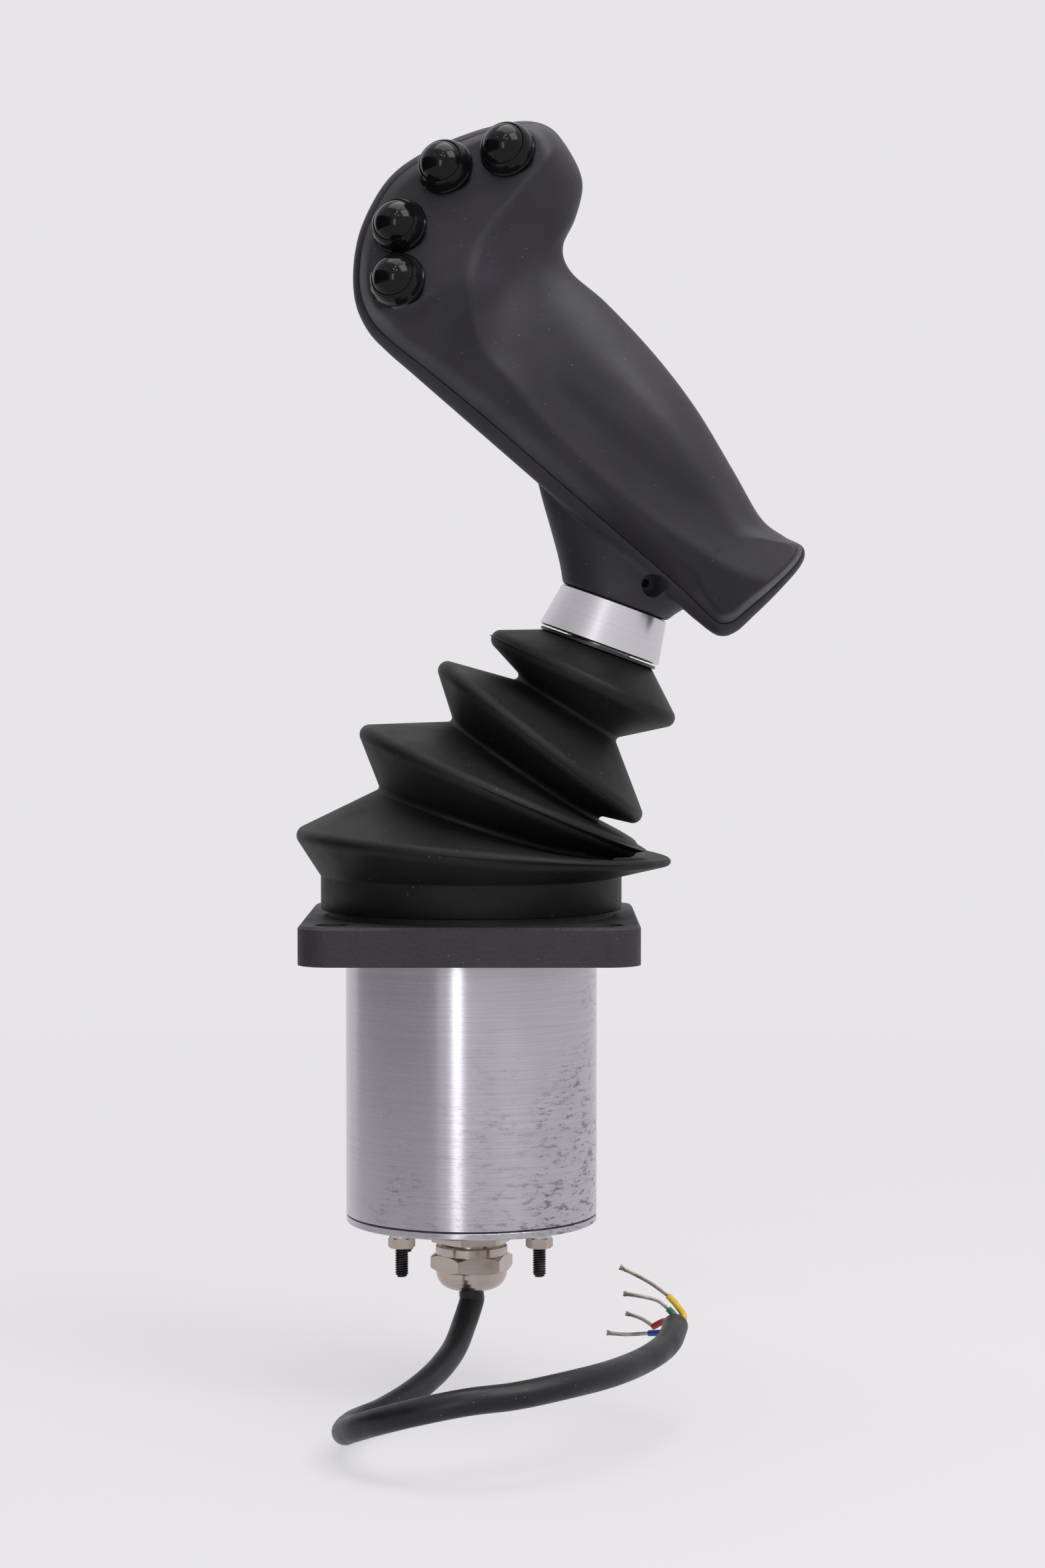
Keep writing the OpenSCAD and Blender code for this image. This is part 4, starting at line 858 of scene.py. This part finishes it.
CABLE_D = 7.5
CABLE_EXIT = -102.5
CABLE_ROUTE = [
    (0, 0, CABLE_EXIT), (0, 0, CABLE_EXIT - 2), (0, 0, CABLE_EXIT - 4), (-2, -5, -112), (-5, -15, -118),
    (-10, -29, -122), (-17, -44, -125), (-25, -58, -127), (-32, -72, -127), (-34, -87, -126),
    (-31, -101, -122), (-23, -113, -117), (-12, -119, -113), (1, -121, -110), (14, -118, -109),
    (28, -109, -108), (40, -95, -108), (50, -77, -108), (57, -60, -107), (60, -45, -105)]
CABLE_END = np.array(CABLE_ROUTE[-1], float)
CORE_D = 1.9
# For each core: its colour, its route to the end of its insulation, and on along its bare strands
CORES = {
    "yellow": ((226, 186, 40),
               [CABLE_END + (1.5, -1.6, 0), (62.6, -41.5, -103), (60.6, -40.5, -99.8), (58, -40, -97)],
               [(52, -40, -92.8), (44, -41, -88.5)]),
    "green": ((38, 112, 84),
              [CABLE_END + (-0.4, -1.3, 1.5), (59.8, -42, -102.6), (58, -41.5, -100.6)],
              [(54.8, -41.5, -98.2), (50, -42, -96.9), (45, -43, -95.9)]),
    "red": ((170, 38, 34),
            [CABLE_END + (-1.6, -1.3, -0.6), (57.4, -38, -105), (54, -34, -107.4)],
            [(50.5, -33, -105.2), (46, -34, -103.5)]),
    "blue": ((44, 78, 150),
             [CABLE_END + (-0.1, -1.3, -1.9), (58.6, -37, -108.6), (53, -31, -110)],
             [(46, -29, -110.8), (40.5, -29, -110.3)])}
# Length in which a strand turns once round the core's middle, and where along it the strands part
STRAND_LAY, FAN_FROM = 5.2, 0.8


def cord_curve(name, route, diameter):
    """A round curve of one open spline that passes smoothly through the route's points."""
    curve = bpy.data.curves.new(name, "CURVE")
    curve.dimensions, curve.use_fill_caps = "3D", True
    curve.bevel_depth, curve.bevel_resolution, curve.resolution_u = diameter / 2 * MM, 7, 10
    line = curve.splines.new("BEZIER")
    points = np.asarray(route, float) * MM
    line.bezier_points.add(len(points) - 1)
    for i, knot in enumerate(line.bezier_points):
        pull = (points[min(i + 1, len(points) - 1)] - points[max(i - 1, 0)]) / 6
        knot.handle_left_type = knot.handle_right_type = "FREE"
        knot.co, knot.handle_left, knot.handle_right = points[i], points[i] - pull, points[i] + pull
    return add_object(name, curve)


def path_sides(path):
    """Two sideways directions at each point of a path, carried along it without a twist."""
    side, sides = np.array([1, 0.3, 0.1]), []
    for ahead in unit(np.gradient(path, axis=0)):
        side = side - (side @ ahead) * ahead
        side /= np.linalg.norm(side)
        sides.append((side, np.cross(ahead, side)))
    return np.array(sides)


def path_rings(path, radius, sides):
    """Rings of a tube along a path."""
    return [at + offsets(side, other, radius, sides) for at, (side, other) in zip(path, path_sides(path))]


class JOYSTICK_OT_cable(bpy.types.Operator):
    """Lays the cable with its four cores and their bare strands"""

    bl_idname = "joystick.cable"
    bl_label = "Cable"

    def execute(self, context):
        scene = context.scene
        jacket = cord_curve("cable_jacket_cord", CABLE_ROUTE, CABLE_D)
        black = cable_plastic(scene.joystick_colours.cable)
        stand_in(jacket, black, "cable_jacket", "housing")
        for name, (tint, route, _) in CORES.items():
            core = cord_curve(f"core_{name}_lead", route, CORE_D)
            stand_in(core, core_plastic(name, shade(*tint)), f"core_{name}", "housing")
        strands = self.strands(scene.joystick_sizes.strand / MM)
        stand_in(strands, tinned_copper(), "bare_strands", "housing")
        return {"FINISHED"}

    @staticmethod
    def strands(strand):
        """Twists six tinned strands round a seventh along each bare end. They fan out at the tip."""
        points, faces = [], []
        for _, route, ends in CORES.values():
            path = open_curve(route[-1:] + ends, 32)
            side, other = path_sides(path).transpose(1, 0, 2)
            gone = np.concatenate([[0], np.cumsum(np.linalg.norm(np.diff(path, axis=0), axis=1))])
            fan = np.maximum(gone / gone[-1] - FAN_FROM, 0) / (1 - FAN_FROM)
            add_tube(path_rings(path, strand / 2, 8), points, faces)
            for k in range(6):
                turn = 2 * pi * (k / 6 + gone / STRAND_LAY)
                away = strand * (1 + 0.75 * fan * (0.4 + 0.6 * (k % 3) / 2))
                lane = path + away[:, None] * (np.cos(turn)[:, None] * side + np.sin(turn)[:, None] * other)
                add_tube(path_rings(lane, strand / 2, 8), points, faces)
        return make_mesh("tinned_strands", np.vstack(points), faces)


def tinned_copper():
    """Tinned copper, darker in places."""
    made = Finish("tinned_copper", metallic=1.0, roughness=0.4)
    dull, bright = shade(120, 112, 104), shade(176, 172, 168)
    made.set("Base Color", made.blend(made.ramp(made.noise(260), 0.35, 0.7), dull, bright))
    made.relief(made.noise(1500), 0.00002)
    return made


def cable_plastic(tint):
    """Black cable jacket, smooth with faint scuffs and dust."""
    made = Finish("cable_plastic", roughness=0.36, specular_ior_level=0.3)
    base = made.toning(made.noise(70, detail=6.0), 0.45, 0.8, tint, 1.0, 1.8)
    made.dust(base, shade(128, 126, 128), 800, 0.15, 0.04, 0.5)
    made.wear(made.noise(120), 0.3, 0.75, 0.34, 0.52)
    made.relief(made.noise(500), 0.00004)
    return made


def core_plastic(name, tint):
    """Coloured insulation of one core."""
    made = Finish(f"core_{name}_plastic", roughness=0.4)
    made.set("Base Color", made.toning(made.noise(300), 0.3, 0.75, tint, 0.8))
    made.relief(made.noise(1200), 0.00002)
    return made


# ---- studs

CAN_D, STUD_INSET = 76, 9
STUD_AT = (CAN_D - 2 * STUD_INSET) / sqrt(2) / 2
STUD_LOW, STUD_HIGH, STUD_R = -95.1, -4.0, 2.0
THREAD_TOP, STUD_SIDES = -78.5, 40
# The thread's depth as a share of its pitch, and the height and depth of the stud's tapered tip
THREAD_DEPTH, TIP_HEIGHT, TIP_TAPER = 0.6, 0.9, 0.55
STUD_SHARP = radians(50)


def stud_rings(centre, pitch):
    """Rings of an upright stud with a thread from its lower end up to where the thread runs out."""
    turn, depth = turns(STUD_SIDES), THREAD_DEPTH * pitch
    heights = np.concatenate([np.arange(STUD_LOW, THREAD_TOP, pitch / 10), [THREAD_TOP + pitch, STUD_HIGH]])
    rings = []
    for z in heights:
        phase = (z / pitch - turn / (2 * pi)) % 1
        ridge = np.clip(1.15 - 2.3 * np.abs(phase - 0.5), 0, 1)
        fade = min(1, max(0, (THREAD_TOP - z) / (2 * pitch)))
        taper = min(0, (z - STUD_LOW) / TIP_HEIGHT - 1) * TIP_TAPER
        radius = STUD_R - depth * (1 - ridge) * fade + taper
        rings.append(oval(radius, radius, z, STUD_SIDES, centre))
    return rings


class JOYSTICK_OT_studs(bpy.types.Operator):
    """Builds the four long threaded studs"""

    bl_idname = "joystick.studs"
    bl_label = "Studs"

    def execute(self, context):
        pitch = context.scene.joystick_sizes.pitch / MM
        points, faces = [], []
        for x in (-STUD_AT, STUD_AT):
            for y in (-STUD_AT, STUD_AT):
                add_tube(stud_rings((x, y), pitch), points, faces)
        studs = make_mesh("threaded_studs", np.vstack(points), faces)
        studs.data.set_sharp_from_angle(angle=STUD_SHARP)
        stand_in(studs, black_oxide(), "housing_studs", "housing")
        return {"FINISHED"}


def black_oxide():
    """Blackened steel, worn paler in places."""
    made = Finish("black_oxide_steel", metallic=0.85, roughness=0.4)
    worn = made.ramp(made.noise(260), 0.4, 0.75)
    made.set("Base Color", made.blend(worn, shade(52, 50, 52), shade(96, 93, 94)))
    made.wear(made.noise(500), 0.3, 0.7, 0.3, 0.5)
    return made


# ---- finishes of the solid parts

# Waves to the metre of a plain moulding's surface
PLAIN_GRAIN = 400


def powder_coat(tint):
    """Black powder coat with its fine texture and a little dust."""
    made = Finish("powder_coat", roughness=0.55, specular_ior_level=0.3)
    base = made.toning(made.noise(42, detail=5.0), 0.35, 0.75, tint, 0.9, 1.12)
    made.dust(base, shade(126, 123, 126), 700, 0.15, 0.05, 0.5)
    made.wear(made.noise(240), 0.3, 0.8, 0.5, 0.68)
    made.relief(made.noise(900, detail=4.0, roughness=0.6), 0.00035)
    return made


def brushed_can(tint):
    """Brushed aluminium: fine streaks round the can, and dark handling marks low down to the right."""
    made = Finish("brushed_aluminium", metallic=1.0, roughness=0.28,
                  anisotropic=0.85, anisotropic_rotation=0.25)
    streak = made.noise(60, stretch=(0.35, 0.35, 40), detail=6.0, roughness=0.7)
    side, height = (made.node("SeparateXYZ", {"Vector": made.place()}, axis) for axis in "XZ")
    reach = made.ramp(made.noise(32) + 4.5 * side + -4.2 * height, 0.66, 0.95)
    mark = made.ramp(made.noise(300, stretch=(0.7, 0.7, 2.4), detail=9.0, roughness=0.75), 0.52, 0.6) * reach
    haze = made.ramp(made.noise(55, detail=5.0), 0.45, 0.75) * reach
    clean = made.toning(streak, 0.3, 0.7, tint, 0.86, 1.08)
    dull = made.blend(haze * 0.3, clean, toned(tint, 0.6))
    made.set("Base Color", made.blend(mark * 0.7, dull, shade(66, 62, 62)))
    made.set("Roughness", made.ramp(streak, 0.3, 0.7, 0.24, 0.3) + 0.12 * mark)
    made.relief(streak, 0.000006)
    return made


def turning_rings(made, leaning=False):
    """Fine rings round the part, as a lathe leaves them."""
    return made.noise(90, stretch=(0.05, 0.05, 16), detail=4.0, leaning=leaning)


def turned_metal(name, tint, rough, stains=0.0):
    """Turned or plated metal with fine rings and faint stains."""
    made = Finish(name, metallic=1.0, roughness=rough)
    ring = turning_rings(made)
    base = made.toning(ring, 0.3, 0.7, tint, 0.9)
    if stains:
        stain = made.ramp(made.noise(60, detail=4.0), 0.52, 0.8)
        base = made.blend(stain * stains, base, shade(128, 98, 70))
    made.set("Base Color", base)
    made.wear(made.noise(220), 0.3, 0.75, rough * 0.8, rough * 1.35)
    made.relief(ring, 0.000003)
    return made


def polished_ring(tint):
    """Smooth turned aluminium of the collar, with rings too fine to feel."""
    made = Finish("turned_aluminium", metallic=1.0, roughness=0.26)
    made.set("Base Color", made.toning(turning_rings(made, leaning=True), 0.3, 0.7, tint, 0.94))
    return made


def plain_plastic(name, tint, rough, coat=0.0):
    """Moulded plastic or rubber of one colour, with slight variation."""
    made = Finish(name, roughness=rough, coat_weight=coat)
    made.set("Base Color", made.toning(made.noise(PLAIN_GRAIN / 6), 0.3, 0.75, tint, 0.85, 1.15))
    made.relief(made.noise(PLAIN_GRAIN), 0.00003)
    return made


def gloss_plastic(tint):
    """Polished black plastic with a few fine dust grains."""
    made = Finish("gloss_plastic", roughness=0.12, specular_ior_level=0.17)
    made.dust(tint, shade(110, 108, 110), 900, 0.12, 0.03, 0.6)
    made.wear(made.noise(60), 0.35, 0.8, 0.1, 0.18)
    return made


# For each: the nodes, the width of their broken edges, then the finish and its name, tint and roughness
PLAIN_FINISHES = [
    ("limit_plate limit_plate_screws flange_screws stud_washers ring_trunnions disc_springs lever_shaft "
     "cross_pin lever_sleeve", 0.12, turned_metal, "zinc_steel", (198, 198, 202), 0.3),
    ("grip_screws neck_screw", 0.12, plain_plastic, "blackened_screws", (44, 43, 45), 0.4),
    ("gimbal_frame gimbal_ring", 0.3, turned_metal, "cast_aluminium", (188, 188, 192), 0.45),
    ("frame_bushes ring_bushes", 0, turned_metal, "oiled_bronze", (182, 130, 72), 0.35),
    ("boot_washer", 0.1, plain_plastic, "washer_coat", (34, 34, 36), 0.4),
    ("button_switches button_nuts cable_inner", 0.15, plain_plastic, "switch_plastic", (40, 40, 42), 0.45),
    ("gland_washer gland_seal bottom_gasket", 0.1, plain_plastic, "seal_rubber", (34, 34, 35), 0.6),
    ("terminal_block", 0.2, plain_plastic, "terminal_plastic", (26, 104, 60), 0.45),
    ("friction_discs", 0, plain_plastic, "friction_lining", (96, 78, 60), 0.7),
    ("magnet_x magnet_y", 0.15, turned_metal, "magnet_plating", (150, 150, 155), 0.2),
    ("inner_leads", 0, plain_plastic, "lead_sleeving", (160, 34, 30), 0.45)]


class JOYSTICK_OT_finishes(bpy.types.Operator):
    """Gives every solid part its finish and slightly broken edges"""

    bl_idname = "joystick.finishes"
    bl_label = "Finishes"

    def execute(self, context):
        tints = context.scene.joystick_colours
        rows = [
            ("mounting_flange", 0.5, powder_coat(tints.powder)),
            ("housing_can bottom_cover", 0.25, brushed_can(tints.aluminium)),
            ("lever_collar", 0.3, polished_ring(tints.collar)),
            ("gland_body gland_cap gland_locknut stud_nuts board_nuts board_spacers preload_nut", 0.2,
             turned_metal("plated_nickel", tints.nickel, 0.2, stains=0.3)),
            ("bezel_1 bezel_2 bezel_3 bezel_4 button_cap_1 button_cap_2 button_cap_3 button_cap_4", 0.12,
             gloss_plastic(tints.gloss)),
            ("hall_board_x hall_board_y circuit_board", 0,
             plain_plastic("circuit_board", shade(24, 92, 52), 0.35, coat=0.4))]
        rows += [(names, bevel, make(name, shade(*tint), rough))
                 for names, bevel, make, name, tint, rough in PLAIN_FINISHES]
        for names, bevel, finish in rows:
            dress_nodes(names.split(), finish, bevel)
        return {"FINISHED"}


# ---- stage

EYE, LOOK_DOWN = (0.0155, -1.012, 0.093), radians(2.38)
LENS, SENSOR = 76.9, 36
FLOOR_Z, FLOOR_SIDES = -0.1336, 96
FLOOR_RADII = (0.4, 1.5, 5.0)
# How much of the floor's light is its own, near the joystick; it is all its own further out
PAPER_GLOW = 0.75
SURROUNDINGS = (0.2, 0.2, 0.21)
# Each lamp: name, place, point it faces, width, height and brightness, where 1 shows as white
LAMPS = [
    ("front_softbox", (-0.37, -1.75, 0.2), (0, 0, 0.0), 0.26, 1.0, 6.2),
    ("key_softbox", (1.0, -0.85, 1.5), (0, 0, 0.08), 1.0, 1.0, 6.0),
    ("top_softbox", (0.1, 0.1, 1.7), (0, 0, 0.1), 1.4, 1.4, 3.2),
    ("catch_light_1", (0.18, -1.5, 1.25), (0, 0, 0.2), 0.03, 0.03, 420.0),
    ("catch_light_2", (-0.2, -1.35, 1.35), (0, 0, 0.2), 0.03, 0.03, 420.0),
    ("catch_light_3", (0.0, -1.1, 1.6), (0, 0, 0.2), 0.03, 0.03, 420.0)]
# A black card that metal mirrors on its left: the ends of its foot, its height and lower edge
CARD = ((-0.84, -1.45), (-1.5, 1.1), 1.0, -0.125)


class JOYSTICK_OT_camera(bpy.types.Operator):
    """Sets the camera"""

    bl_idname = "joystick.camera"
    bl_label = "Camera"

    def execute(self, context):
        lens = bpy.data.cameras.new("camera")
        lens.sensor_width, lens.lens, lens.clip_start, lens.clip_end = SENSOR, LENS, 0.05, 50
        eye = add_object("camera", lens)
        eye.location, eye.rotation_euler = EYE, (radians(90) - LOOK_DOWN, 0, 0)
        context.scene.camera = eye
        return {"FINISHED"}


class JOYSTICK_OT_stage(bpy.types.Operator):
    """Builds the floor, the lamps, the black card and the surroundings"""

    bl_idname = "joystick.stage"
    bl_label = "Stage"

    def execute(self, context):
        scene = context.scene
        scene.view_settings.view_transform = "Standard"
        pale = tuple(scene.joystick_colours.floor)
        self.floor(pale)
        self.card()
        for name, place, target, width, height, level in LAMPS:
            lamp = bpy.data.lights.new(name, "AREA")
            lamp.shape, lamp.size, lamp.size_y = "RECTANGLE", width, height
            lamp.energy = level * pi * width * height
            thing = add_object(name, lamp)
            thing.location = place
            thing.rotation_euler = (Vector(target) - Vector(place)).to_track_quat("-Z", "Y").to_euler()
        scene.world = bpy.data.worlds.new("surroundings")
        scene.world.use_nodes = True
        air = Nodes(scene.world.node_tree)
        air.feed(air.tree.nodes["Background"].inputs["Color"], air.blend(seen_rays(air), SURROUNDINGS, pale))
        return {"FINISHED"}

    @staticmethod
    def floor(pale):
        """Lays the floor, with its face upward."""
        rings = [oval(r / MM, r / MM, FLOOR_Z / MM, FLOOR_SIDES) for r in FLOOR_RADII]
        faces = wall_faces(len(rings), FLOOR_SIDES) + [tuple(range(FLOOR_SIDES))]
        floor = make_mesh("studio_floor", np.vstack(rings), faces)
        for face in floor.data.polygons:
            if face.normal.z < 0:
                face.flip()
        dress(floor, studio_paper(pale))

    @staticmethod
    def card():
        """Stands the black card, which the camera doesn't see."""
        (x0, y0), (x1, y1), height, low = CARD
        corners = [(x0, y0, low), (x1, y1, low), (x1, y1, low + height), (x0, y0, low + height)]
        card = make_mesh("black_card", np.array(corners) / MM, [(0, 1, 2, 3)])
        felt = Finish("black_felt", roughness=1.0, specular_ior_level=0.0)
        felt.set("Base Color", felt.blend(felt.noise(20), (0.01, 0.01, 0.01), (0.014, 0.014, 0.014)))
        dress(card, felt)
        card.visible_camera = False


def seen_rays(nodes):
    """1 for what the camera sees directly, in a mirror or through glass."""
    camera, mirror, glass = (nodes.node("LightPath", {}, f"Is {kind} Ray")
                             for kind in ("Camera", "Glossy", "Transmission"))
    return nodes.node("Math", {0: camera + mirror, 1: glass}, operation="ADD", use_clamp=True)


def studio_paper(pale):
    """Pale paper that keeps its shadow. Most of what the camera sees is the paper's own colour."""
    made = Finish("studio_paper", roughness=0.95, specular_ior_level=0.0)
    made.set("Base Color", made.blend(made.noise(3.0), pale, toned(pale, 0.98)))
    glow = made.node("Emission", {"Color": (*pale, 1), "Strength": 1.0})
    away = made.node("VectorMath", {0: made.place()}, "Value", operation="LENGTH")
    own = seen_rays(made) * made.ramp(away, 0.25, 1.3, PAPER_GLOW, 1.0)
    lit = Wire(made, made.shader.outputs[0])
    mixed = made.node("MixShader", {0: own, 1: lit, 2: glow})
    made.feed(made.tree.nodes["Material Output"].inputs["Surface"], mixed)
    return made


# ---- panel and run

OPERATORS = (JOYSTICK_OT_camera, JOYSTICK_OT_cable, JOYSTICK_OT_bellows, JOYSTICK_OT_grip, JOYSTICK_OT_studs,
             JOYSTICK_OT_finishes, JOYSTICK_OT_stage)


class JOYSTICK_PT_tools(bpy.types.Panel):
    """Lists the joystick's pieces, sizes and colours"""

    bl_idname = "JOYSTICK_PT_tools"
    bl_label = "Joystick"
    bl_space_type = "VIEW_3D"
    bl_region_type = "UI"
    bl_category = "Joystick"

    def draw(self, context):
        for group in (context.scene.joystick_sizes, context.scene.joystick_colours):
            for name in group.__annotations__:
                self.layout.prop(group, name)
        for operator in OPERATORS:
            self.layout.operator(operator.bl_idname)


CLASSES = (JoystickSizes, JoystickColours, *OPERATORS, JOYSTICK_PT_tools)


def register():
    """Adds the classes and the scene's properties."""
    for cls in CLASSES:
        bpy.utils.register_class(cls)
    bpy.types.Scene.joystick_sizes = bpy.props.PointerProperty(type=JoystickSizes)
    bpy.types.Scene.joystick_colours = bpy.props.PointerProperty(type=JoystickColours)


def unregister():
    """Takes them away again."""
    del bpy.types.Scene.joystick_colours
    del bpy.types.Scene.joystick_sizes
    for cls in reversed(CLASSES):
        bpy.utils.unregister_class(cls)


def main():
    """Builds everything."""
    register()
    for operator in OPERATORS:
        family, name = operator.bl_idname.split(".")
        if getattr(getattr(bpy.ops, family), name)() != {"FINISHED"}:
            raise RuntimeError(f"{operator.bl_label} didn't finish")


if __name__ == "__main__":
    main()
